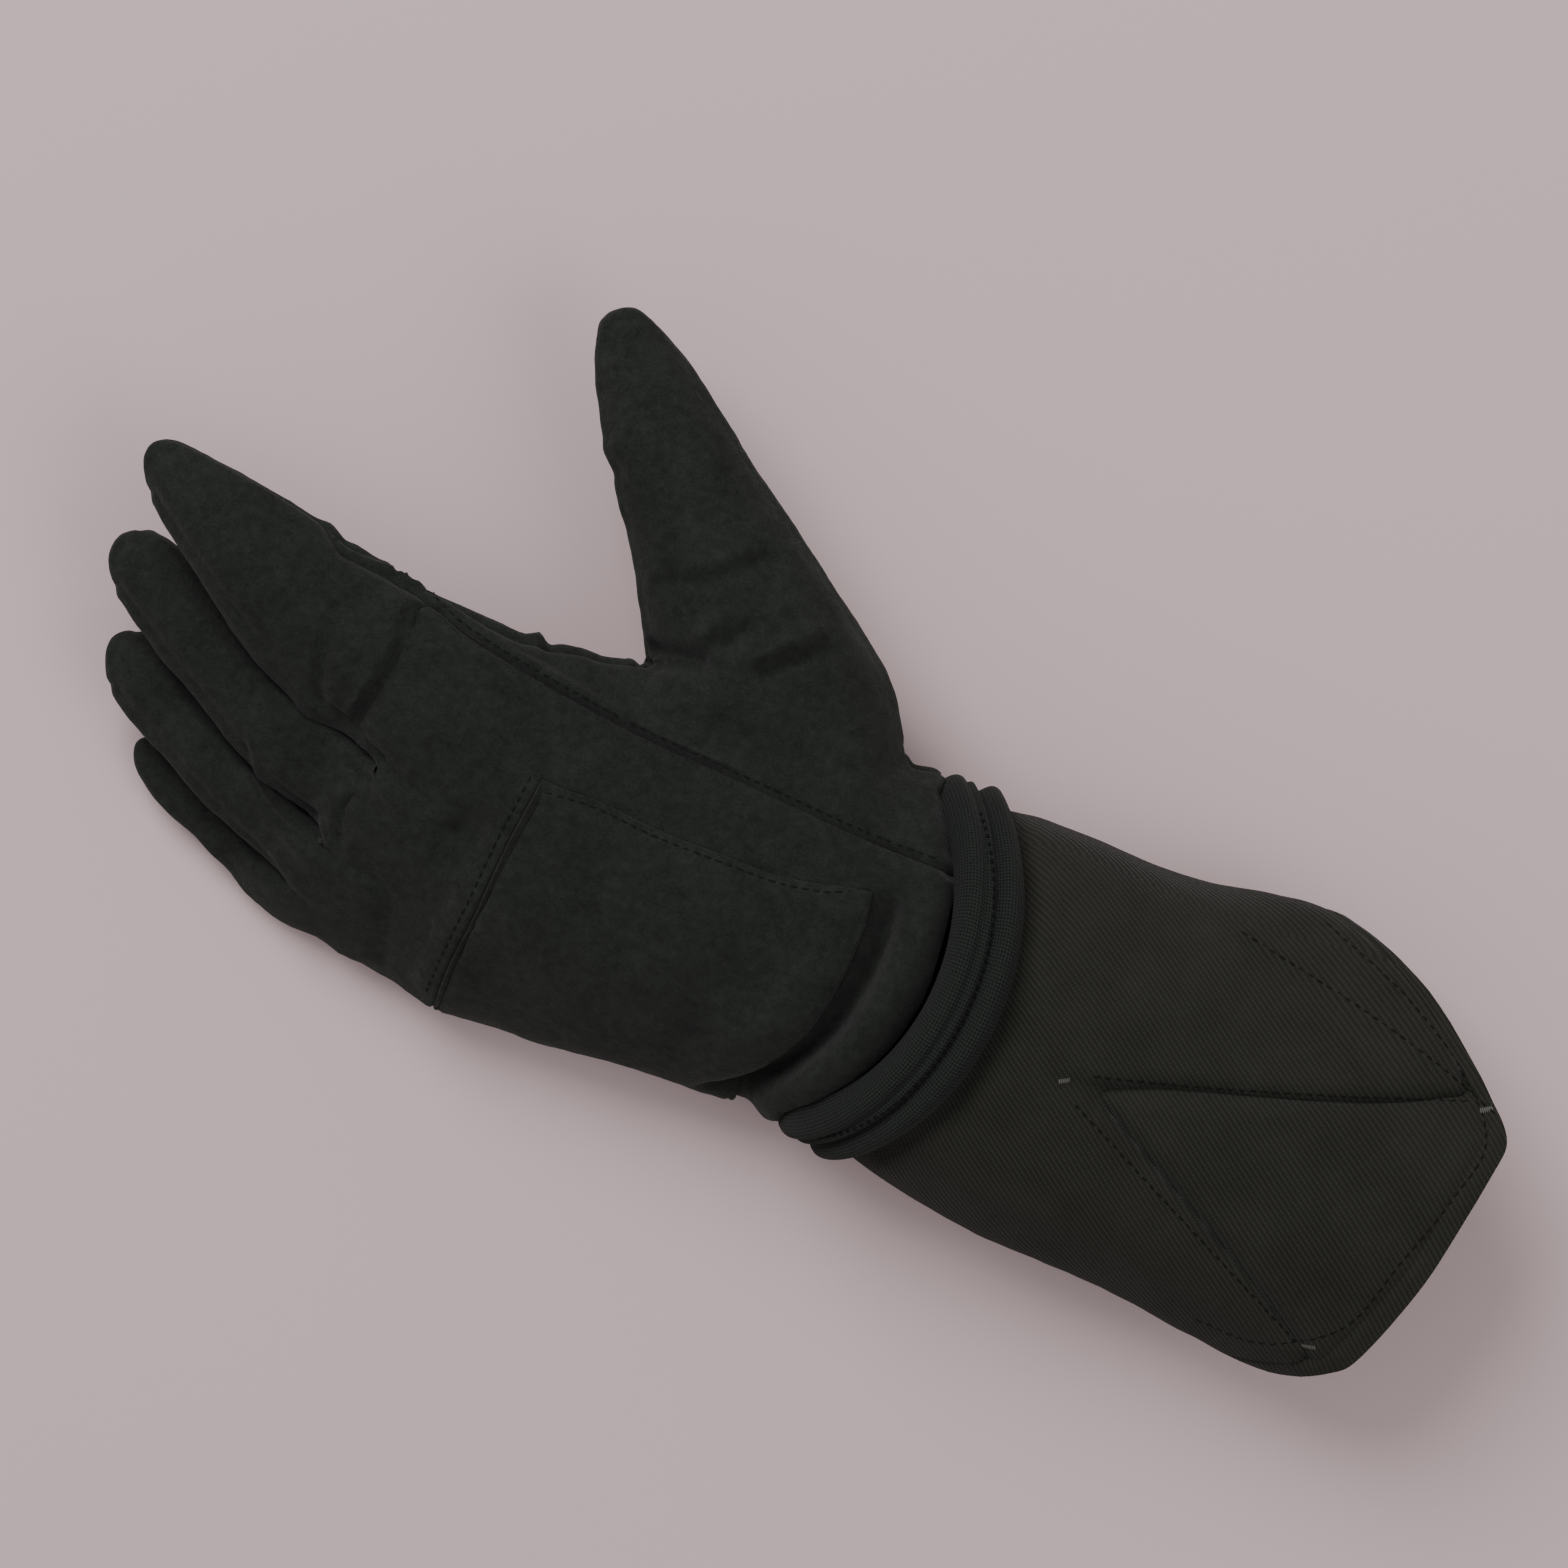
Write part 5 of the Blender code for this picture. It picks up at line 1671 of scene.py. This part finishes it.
@dataclass
class Cuff(SewnPart):
    """The twill cuff, with its gusset and its hem."""

    finish = TWILL
    pieces = {Panel.CUFF: ("cuff_cloth", "cuff_panel"), Panel.GUSSET: ("gusset_cloth", "cuff_gusset"),
              Panel.HEM: ("hem_cloth", "cuff_hem")}
    length: float = 0.1540
    width: float = 0.1020
    depth: float = 0.0480
    wall: float = 0.0016
    roundness: float = 0.80
    crease: float = 0.0022
    down: int = 4
    apex_row: int = 4
    apex_column: int = 9
    gusset_steps: int = 7
    hem_row: int = 11
    near_shares: tuple[float, ...] = (0.03, 0.09)
    gusset_shares: tuple[float, float, float] = (0.222, 0.5475, 0.918)
    gusset_bend: float = 0.84
    gusset_short: float = 0.6
    far_shares: tuple[float, ...] = (0.975,)
    rows: tuple[Row, ...] = (
        Row(0.070, -0.004, 0.422, 0.495, 0.595, 3, 0.110),
        Row(0.108, -0.004, 0.440, 0.522, 0.580, 3, 0.112),
        Row(0.150, -0.006, 0.456, 0.540, 0.555, 2, 0.118),
        Row(0.196, -0.006, 0.464, 0.545, 0.530, 1, 0.134),
        Row(0.244, -0.006, 0.467, 0.545, 0.515, 0, 0.160),
        Row(0.296, -0.006, 0.470, 0.540, 0.505, 0, 0.190),
        Row(0.350, -0.006, 0.473, 0.535, 0.500, 0, 0.224),
        Row(0.405, -0.003, 0.478, 0.530, 0.495, 0, 0.262),
        Row(0.460, 0.005, 0.486, 0.525, 0.490, 0, 0.300),
        Row(0.515, 0.018, 0.500, 0.515, 0.485, 0, 0.336),
        Row(0.570, 0.028, 0.514, 0.505, 0.480, 0, 0.370),
        Row(0.600, 0.030, 0.518, 0.500, 0.478, 0, 0.386),
        Row(0.622, 0.030, 0.520, 0.495, 0.476, 0, 0.398),
    )
    reaches: tuple[Reach, ...] = (
        Reach(-30, 0.00, 0.00), Reach(0, 0.00, 0.06), Reach(30, 0.55, 0.50), Reach(64, 0.95, 0.98),
        Reach(105, 1.00, 0.93), Reach(145, 0.60, 0.82), Reach(165, 0.25, 0.62), Reach(180, 0.00, 0.36),
        Reach(205, 0.00, 0.08), Reach(270, 0.00, 0.45), Reach(330, 0.00, 0.00), Reach(360, 0.00, 0.06),
    )
    folds: tuple[Fold, ...] = (
        # The broad hollow where the cuff comes out from under the band
        Fold(((19.0, 44.0), (21.6, 40.1), (27.5, 32.0), (33.0, 20.0), (36.2, 5.5), (36.2, -9.7),
              (33.0, -23.8), (27.5, -35.2), (21.6, -42.3), (19.0, -46.0)),
             height=-1.8, width=3.4, ends=3.0),
        # The creases run on to the gusset's point
        Fold(((53.0, -6.0), (58.0, -4.6), (66.0, -2.0)), height=-0.9, width=1.3, ends=2.0),
        Fold(((53.6, -5.6), (58.0, -7.0), (66.0, -10.0)), height=-0.7, width=1.2, ends=2.0),
        # The stitched closing seam on the thumb's side
        Fold(((77.4, 41.4), (96.0, 39.5), (116.0, 37.0), (134.1, 33.5)),
             height=-0.7, width=1.0, step=0.9, fade=6.0, ends=5.0),
        # Small pleats where the cuff comes out from under the band
        Fold(((27.0, 40.0), (33.0, 32.0), (37.0, 22.0)), height=0.5, width=1.1, ends=5.0),
        Fold(((30.5, 40.0), (36.5, 31.0), (40.0, 20.0)), height=-0.5, width=1.2, ends=5.0),
    )
    gusset_lines: tuple[SeamLine, ...] = (SeamLine(-1.1, 1.3), SeamLine(0.5, 2.2, 4.0))
    hem_line: SeamLine = SeamLine(-0.45, 0.7)
    waves: tuple[Waves, ...] = (Waves(0.55, 42.0, 11), Waves(0.12, 12.0, 12))

    def angles(self) -> list[float]:
        """Works out where the lines round the cuff lie, closer together beside the gusset's edges.

        Returns:
            Their angles, in radians.
        """
        near, middle, far = self.gusset_shares
        steps = np.arange(1, self.gusset_steps + 1) / (self.gusset_steps - self.gusset_short)
        steps = np.minimum(steps, 1.0)
        shares = [*self.near_shares, *(middle + (near - middle) * steps[::-1] ** self.gusset_bend), middle,
                  *(middle + (far - middle) * steps), *self.far_shares]
        return section_angles(shares, [1 - share for share in reversed(shares)], self.down)

    def reach_at(self, angle: float, toward_mouth: float) -> float:
        """Returns the share of a row's reach that a line round the cuff has.

        Args:
            angle: Where the line lies, in radians.
            toward_mouth: How far the row lies from the wrist to the mouth, from 0 to 1.

        Returns:
            The share.
        """
        degrees = math.degrees(angle)
        degrees += 360 if degrees < self.reaches[0].angle else 0
        angles = [reach.angle for reach in self.reaches]
        wrist = np.interp(degrees, angles, [reach.wrist for reach in self.reaches])
        mouth = np.interp(degrees, angles, [reach.mouth for reach in self.reaches])
        return wrist * (1 - toward_mouth) + mouth * toward_mouth

    def gusset_edges(self, line: int) -> tuple[int, int] | None:
        """Returns the gusset's first and last columns on a line, or None before it."""
        step = min(line - self.apex_row, self.gusset_steps)
        return None if step < 0 else (self.apex_column - step, self.apex_column + step)

    def cloth(self) -> Cloth:
        """Makes the cuff's cloth.

        Returns:
            The fine surface, with its seams and folds.
        """
        cage = Cage()
        angles = self.angles()
        rows, flats = [], []
        for line, row in enumerate(self.rows):
            turn = math.radians(row.roll)
            edges = self.gusset_edges(line)
            points = []
            for column, angle in enumerate(angles):
                x = (row.along + row.reach * self.reach_at(angle, line / (len(self.rows) - 1))) * self.length
                out = row.half_width * self.width * math.cos(angle)
                up = row.half_depth * self.depth * signed_power(math.sin(angle), self.roundness)
                y, z = turned_place(row.centre * self.width, row.height * self.depth, out, up, turn)
                if edges is not None and column in edges:
                    z -= self.crease
                points.append((x, y, max(z, 0.0)))
            rows.append([cage.add_point(point) for point in points])
            ring = np.array([*points, points[0]])
            steps = np.linalg.norm(np.diff(ring[:, 1:], axis=0), axis=1)
            runs = np.concatenate(([0.0], np.cumsum(steps)))
            flats.append((ring[:, 0], runs - runs[self.apex_column]))
        across = np.mean([runs for _, runs in flats], axis=0)
        flats = [list(zip(along, across)) for along, _ in flats]
        for line in range(len(rows) - 1):
            for column in range(len(angles)):
                self.add_faces(cage, quad(rows[line], rows[line + 1], column),
                               quad(flats[line], flats[line + 1], column), line, column)
        cloth = cage.refined(2)
        seams = cloth.distances(lambda one, other: Panel.GUSSET in (one, other)
                                and Panel.HEM not in (one, other), 12.0)
        hem = cloth.distances(lambda one, other: Panel.HEM in (one, other), 8.0)
        heights = cloth.fold_heights(self.folds)
        heights += sum(line.heights(seams) for line in self.gusset_lines) * MM
        heights += self.hem_line.heights(hem) * MM
        cloth.lift(heights + cloth.wave_heights(self.waves))
        return cloth

    def add_faces(self, cage: Cage, corners: Sequence[int], flat: Sequence[tuple[float, float]],
                  line: int, column: int) -> None:
        """Adds the face or faces between two lines, split along the gusset's edges.

        Args:
            cage: The surface.
            corners: The four points round the faces.
            flat: Their places on the flat cloth, in metres.
            line: The line before the faces.
            column: The faces' column.
        """
        now, later = self.gusset_edges(line), self.gusset_edges(line + 1)

        def add(picks: Sequence[int], panel: Panel) -> None:
            """Adds a face on some of the corners."""
            cage.add_face([corners[pick] for pick in picks], panel, [flat[pick] for pick in picks])

        if line >= self.hem_row:
            add((0, 1, 2, 3), Panel.HEM)
        elif now is None or column < later[0] or column >= later[1]:
            add((0, 1, 2, 3), Panel.CUFF)
        elif column < now[0]:
            add((0, 1, 3), Panel.CUFF)
            add((1, 2, 3), Panel.GUSSET)
        elif column >= now[1]:
            add((0, 2, 3), Panel.GUSSET)
            add((0, 1, 2), Panel.CUFF)
        else:
            add((0, 1, 2, 3), Panel.GUSSET)


# OVERHEAD: a height above the whole glove, from which places on it are looked for, in metres
OVERHEAD = 0.2


@dataclass(frozen=True)
class Stitching:
    """Runs of thread laid over the cloth.

    Lengths are in millimetres. pitch: from one stitch to the next. length, thickness: of a stitch.
    height: how far its middle lies over the cloth. turn: degrees between a stitch and its run.
    shortest, longest: the shares of length that a stitch may have. flatness: its depth in thicknesses.
    segments, rings: of a stitch's mesh.
    """

    name: str
    finish: Finish
    runs: tuple[Path, ...]
    pitch: float = 2.6
    length: float = 1.9
    thickness: float = 0.50
    height: float = 0.05
    turn: float = 0.0
    seed: int = 1
    shortest: float = 0.82
    longest: float = 1.12
    flatness: float = 0.8
    segments: int = 8
    rings: int = 6

    def nodes(self) -> bpy.types.NodeTree:
        """Makes the node tree that lays a stitch at even steps along each run, on first use.

        Returns:
            The tree.
        """
        tree = bpy.data.node_groups.get("stitches")
        if tree is not None:
            return tree
        tree = bpy.data.node_groups.new("stitches", "GeometryNodeTree")
        face = tree.interface
        face.new_socket("Runs", in_out="INPUT", socket_type="NodeSocketGeometry")
        for name in ("Pitch", "Length", "Thickness", "Turn"):
            face.new_socket(name, in_out="INPUT", socket_type="NodeSocketFloat")
        face.new_socket("Seed", in_out="INPUT", socket_type="NodeSocketInt")
        face.new_socket("Thread", in_out="INPUT", socket_type="NodeSocketMaterial")
        face.new_socket("Stitches", in_out="OUTPUT", socket_type="NodeSocketGeometry")

        add = Nodes(tree).add
        given = add("NodeGroupInput").outputs
        curve = add("GeometryNodeMeshToCurve", {"Mesh": given["Runs"]})
        evenly = add("GeometryNodeResampleCurve", {"Curve": curve.outputs[0], "Length": given["Pitch"]},
                     mode="LENGTH")
        upward = add("GeometryNodeInputNamedAttribute", {"Name": "upward"}, data_type="FLOAT_VECTOR")
        along = add("GeometryNodeInputTangent")
        facing = add("FunctionNodeAxesToRotation", {0: upward.outputs[0], 1: along.outputs[0]},
                     primary_axis="Z", secondary_axis="X")
        turned = add("FunctionNodeAxisAngleToRotation", {"Axis": (0.0, 0.0, 1.0), "Angle": given["Turn"]})
        rotation = add("FunctionNodeRotateRotation",
                       {"Rotation": facing.outputs[0], "Rotate By": turned.outputs[0]},
                       rotation_space="LOCAL")
        uneven = add("FunctionNodeRandomValue", {2: self.shortest, 3: self.longest, "Seed": given["Seed"]},
                     data_type="FLOAT")
        long = add("ShaderNodeMath", {0: given["Length"], 1: uneven.outputs[1]}, operation="MULTIPLY")
        flat = add("ShaderNodeMath", {0: given["Thickness"], 1: self.flatness}, operation="MULTIPLY")
        size = add("ShaderNodeCombineXYZ", {"X": long.outputs[0], "Y": given["Thickness"],
                                            "Z": flat.outputs[0]})
        bead = add("GeometryNodeMeshUVSphere", {"Segments": self.segments, "Rings": self.rings,
                                                "Radius": 0.5})
        smooth = add("GeometryNodeSetShadeSmooth", {"Geometry": bead.outputs[0]})
        laid = add("GeometryNodeInstanceOnPoints",
                   {"Points": evenly.outputs[0], "Instance": smooth.outputs[0],
                    "Rotation": rotation.outputs[0], "Scale": size.outputs[0]})
        real = add("GeometryNodeRealizeInstances", {"Geometry": laid.outputs[0]})
        dressed = add("GeometryNodeSetMaterial", {"Geometry": real.outputs[0], "Material": given["Thread"]})
        add("NodeGroupOutput", {"Stitches": dressed.outputs[0]})
        return tree

    def build(self, ground: BVHTree, place: Vector) -> bpy.types.Object:
        """Adds the thread.

        Args:
            ground: The cloth that the runs are laid on, in the frame.
            place: Where the drawing's origin lies in the frame.

        Returns:
            The piece.
        """
        points, edges, normals = [], [], []
        for run in self.runs:
            first = len(points)
            for x, y in curve_through(run, BORDER_GAP):
                start = Vector((x * MM + place.x, y * MM + place.y, OVERHEAD))
                hit, normal, _, _ = ground.ray_cast(start, Vector((0, 0, -1)))
                if hit is not None:
                    points.append(hit + normal * self.height * MM)
                    normals.extend(normal)
            edges += [(number, number + 1) for number in range(first, len(points) - 1)]
        mesh = bpy.data.meshes.new(self.name)
        mesh.from_pydata(points, edges, [])
        mesh.attributes.new("upward", "FLOAT_VECTOR", "POINT").data.foreach_set("vector", normals)
        runs = add_object("runs", mesh)
        modifier = runs.modifiers.new("stitches", "NODES")
        tree = self.nodes()
        modifier.node_group = tree
        values = {"Pitch": self.pitch * MM, "Length": self.length * MM, "Thickness": self.thickness * MM,
                  "Turn": math.radians(self.turn), "Seed": self.seed, "Thread": self.finish.material()}
        for item in tree.interface.items_tree:
            if item.in_out == "INPUT" and item.name in values:
                modifier[item.identifier] = values[item.name]
        evaluated = runs.evaluated_get(bpy.context.evaluated_depsgraph_get())
        thread = bpy.data.meshes.new_from_object(evaluated)
        runs.modifiers.remove(modifier)
        bpy.data.objects.remove(runs)
        return add_piece(self.name, self.finish, thread)


def ground_of(objects: Sequence[bpy.types.Object]) -> BVHTree:
    """Gathers the faces of some pieces, so that the nearest is found quickly.

    Args:
        objects: The pieces.

    Returns:
        A tree of all their faces.
    """
    points, faces = [], []
    for obj in objects:
        first = len(points)
        points += [vertex.co.copy() for vertex in obj.data.vertices]
        faces += [[number + first for number in face.vertices] for face in obj.data.polygons]
    return BVHTree.FromPolygons(points, faces)


STITCHING = (
    Stitching("patch_side_stitches", HAND_THREAD, (
        ((-82.0, 2.2), (-71.1, 3.9), (-55.5, 4.0), (-40.8, 5.2), (-25.5, 6.8), (-15.0, 9.6), (-9.5, 12.4)),)),
    Stitching("patch_finger_stitches", HAND_THREAD, (
        ((-87.6, 3.0), (-88.0, -12.4), (-87.7, -29.7), (-87.6, -43.6), (-87.0, -54.0)),)),
    Stitching("thumb_seam_stitches", HAND_THREAD, (
        ((-126.0, 31.6), (-114.2, 28.5), (-90.4, 26.2), (-68.6, 25.2), (-49.0, 25.6), (-28.6, 26.0),
         (-10.6, 26.4), (4.0, 27.8)),), height=0.0),
    Stitching("band_stitches", BAND_THREAD, (
        ((10.4, 41.5), (14.6, 36.6), (20.5, 26.4), (25.0, 13.0), (26.6, -2.1), (25.0, -17.0), (20.5, -30.0),
         (14.6, -39.4), (10.4, -43.4)),), pitch=2.1, length=1.3, thickness=0.8),
    Stitching("gusset_stitches", CUFF_THREAD, (
        ((61.0, -1.4), (70.0, 1.6), (86.0, 7.4), (106.0, 15.4), (126.0, 23.6), (142.0, 30.2)),
        ((60.0, -9.8), (70.0, -13.6), (86.0, -20.0), (104.0, -27.1), (122.0, -34.2), (132.0, -38.2)))),
    Stitching("closing_stitches", CUFF_THREAD, (
        ((79.0, 42.9), (96.0, 41.0), (116.0, 38.5), (134.1, 35.0), (149.0, 31.0)),)),
    Stitching("hem_stitches", CUFF_THREAD, (
        ((97.0, 53.0), (120.0, 46.0), (139.0, 36.0), (150.5, 24.0), (149.0, 8.0), (145.0, -10.0),
         (140.5, -30.0), (126.0, -42.0), (110.0, -44.0)),), height=0.0),
    Stitching("bar_tacks", PALE_THREAD, (
        ((53.6, -6.2), (55.6, -5.0)), ((146.4, 30.0), (148.6, 31.6)), ((134.6, -38.6), (137.0, -37.6))),
        pitch=0.45, length=1.5, thickness=0.45, turn=90.0),
)


@dataclass(frozen=True)
class Lamp:
    """A soft round light that faces the glove.

    right, up, above: its place from the glove, along the picture's right and up and above the floor,
    in metres. size: how wide it is, in metres. power: how bright it is, in watts.
    """

    name: str
    right: float
    up: float
    above: float
    size: float
    power: float


@dataclass
class Studio:
    """The floor, the lights and the camera.

    lean: how far the camera leans from straight above, towards lean_way, both in degrees.
    picture_up: the way that is up in the picture, in degrees. pixel: a pixel's width at the glove.
    """

    lean: float = 5.0
    lean_way: float = 135.0
    picture_up: float = 116.0
    distance: float = 1.5
    sensor: float = 36.0
    pixel: float = 0.000235
    pixels: int = 1568
    target: tuple[float, float, float] = (-0.0100, -0.0003, 0.025)
    floor_half: float = 3.0
    lamps: tuple[Lamp, ...] = (Lamp("key", -0.9, 1.6, 1.8, 1.6, 56), Lamp("fill", 1.6, -0.9, 2.0, 2.0, 20))
    sky: Colour = (1.0, 0.99, 0.98)
    sky_strength: float = 0.50

    def axes(self) -> tuple[Vector, Vector, Vector]:
        """Works out which way the picture lies.

        Returns:
            The picture's right, its up and the way from the glove to the camera.
        """
        lean, way, top = (math.radians(angle) for angle in (self.lean, self.lean_way, self.picture_up))
        view = Vector((math.sin(lean) * math.cos(way), math.sin(lean) * math.sin(way), math.cos(lean)))
        right = Vector((math.cos(top), math.sin(top), 0)).cross(view).normalized()
        return right, view.cross(right), view

    def add_camera(self) -> None:
        """Adds the camera at the photograph's place."""
        right, up, view = self.axes()
        data = bpy.data.cameras.new("camera")
        data.sensor_width = self.sensor
        data.lens = self.sensor * self.distance / (self.pixel * self.pixels)
        camera = add_object("camera", data)
        turn = Matrix((right, up, view)).transposed().to_4x4()
        camera.matrix_world = Matrix.Translation(Vector(self.target) + view * self.distance) @ turn
        bpy.context.scene.camera = camera

    def add_lamp(self, lamp: Lamp) -> None:
        """Adds a light.

        Args:
            lamp: The light.
        """
        right, up, _ = self.axes()
        place = lamp.right * right + lamp.up * up + lamp.above * Vector((0, 0, 1))
        data = bpy.data.lights.new(lamp.name, "AREA")
        data.shape = "DISK"
        data.size = lamp.size
        data.energy = lamp.power
        light = add_object(lamp.name, data)
        light.location = place
        light.rotation_euler = place.to_track_quat("Z", "Y").to_euler()

    def add_floor(self) -> None:
        """Adds a wide pale floor."""
        mesh = bpy.data.meshes.new("floor")
        half = self.floor_half
        mesh.from_pydata([(-half, -half, 0), (half, -half, 0), (half, half, 0), (-half, half, 0)], [],
                         [(0, 1, 2, 3)])
        mesh.materials.append(FLOOR.material())
        floor = add_object("floor", mesh)

    def build(self) -> None:
        """Adds everything that isn't the glove."""
        self.add_camera()
        self.add_floor()
        for lamp in self.lamps:
            self.add_lamp(lamp)
        world = bpy.data.worlds.new("studio")
        world.use_nodes = True
        background = world.node_tree.nodes["Background"]
        background.inputs["Color"].default_value = (*self.sky, 1.0)
        background.inputs["Strength"].default_value = self.sky_strength
        bpy.context.scene.world = world


def drawing_place(hand: Cage, cuff: Cloth) -> Vector:
    """Works out how far to move the drawing, so that its thumb and mouth end where the solids do.

    Args:
        hand: The hand's coarse surface.
        cuff: The cuff's cloth.

    Returns:
        Where the drawing's origin lies in the frame.
    """
    thumb_end = max(point[1] for point in hand.points)
    mouth_end = cuff.points[:, 0].max()
    return Vector((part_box("cuff_hem")[1][0] - mouth_end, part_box("thumb_front")[1][1] - thumb_end, 0.0))


def main() -> None:
    """Builds the glove's pieces and the studio."""
    logging.basicConfig(level=logging.INFO, format="%(message)s")
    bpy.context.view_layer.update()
    hand, band, cuff = Hand(), Band(), Cuff()
    cuff_cloth = cuff.cloth()
    place = drawing_place(hand.cage(), cuff_cloth)
    hand_cloth = hand.cloth()
    pieces = [*hand.build(hand_cloth, place), *band.build(band.cloth(), place),
              *cuff.build(cuff_cloth, place)]
    ground = ground_of(pieces)
    for stitching in STITCHING:
        stitching.build(ground, place)
    Studio().build()


if __name__ == "__main__":
    main()
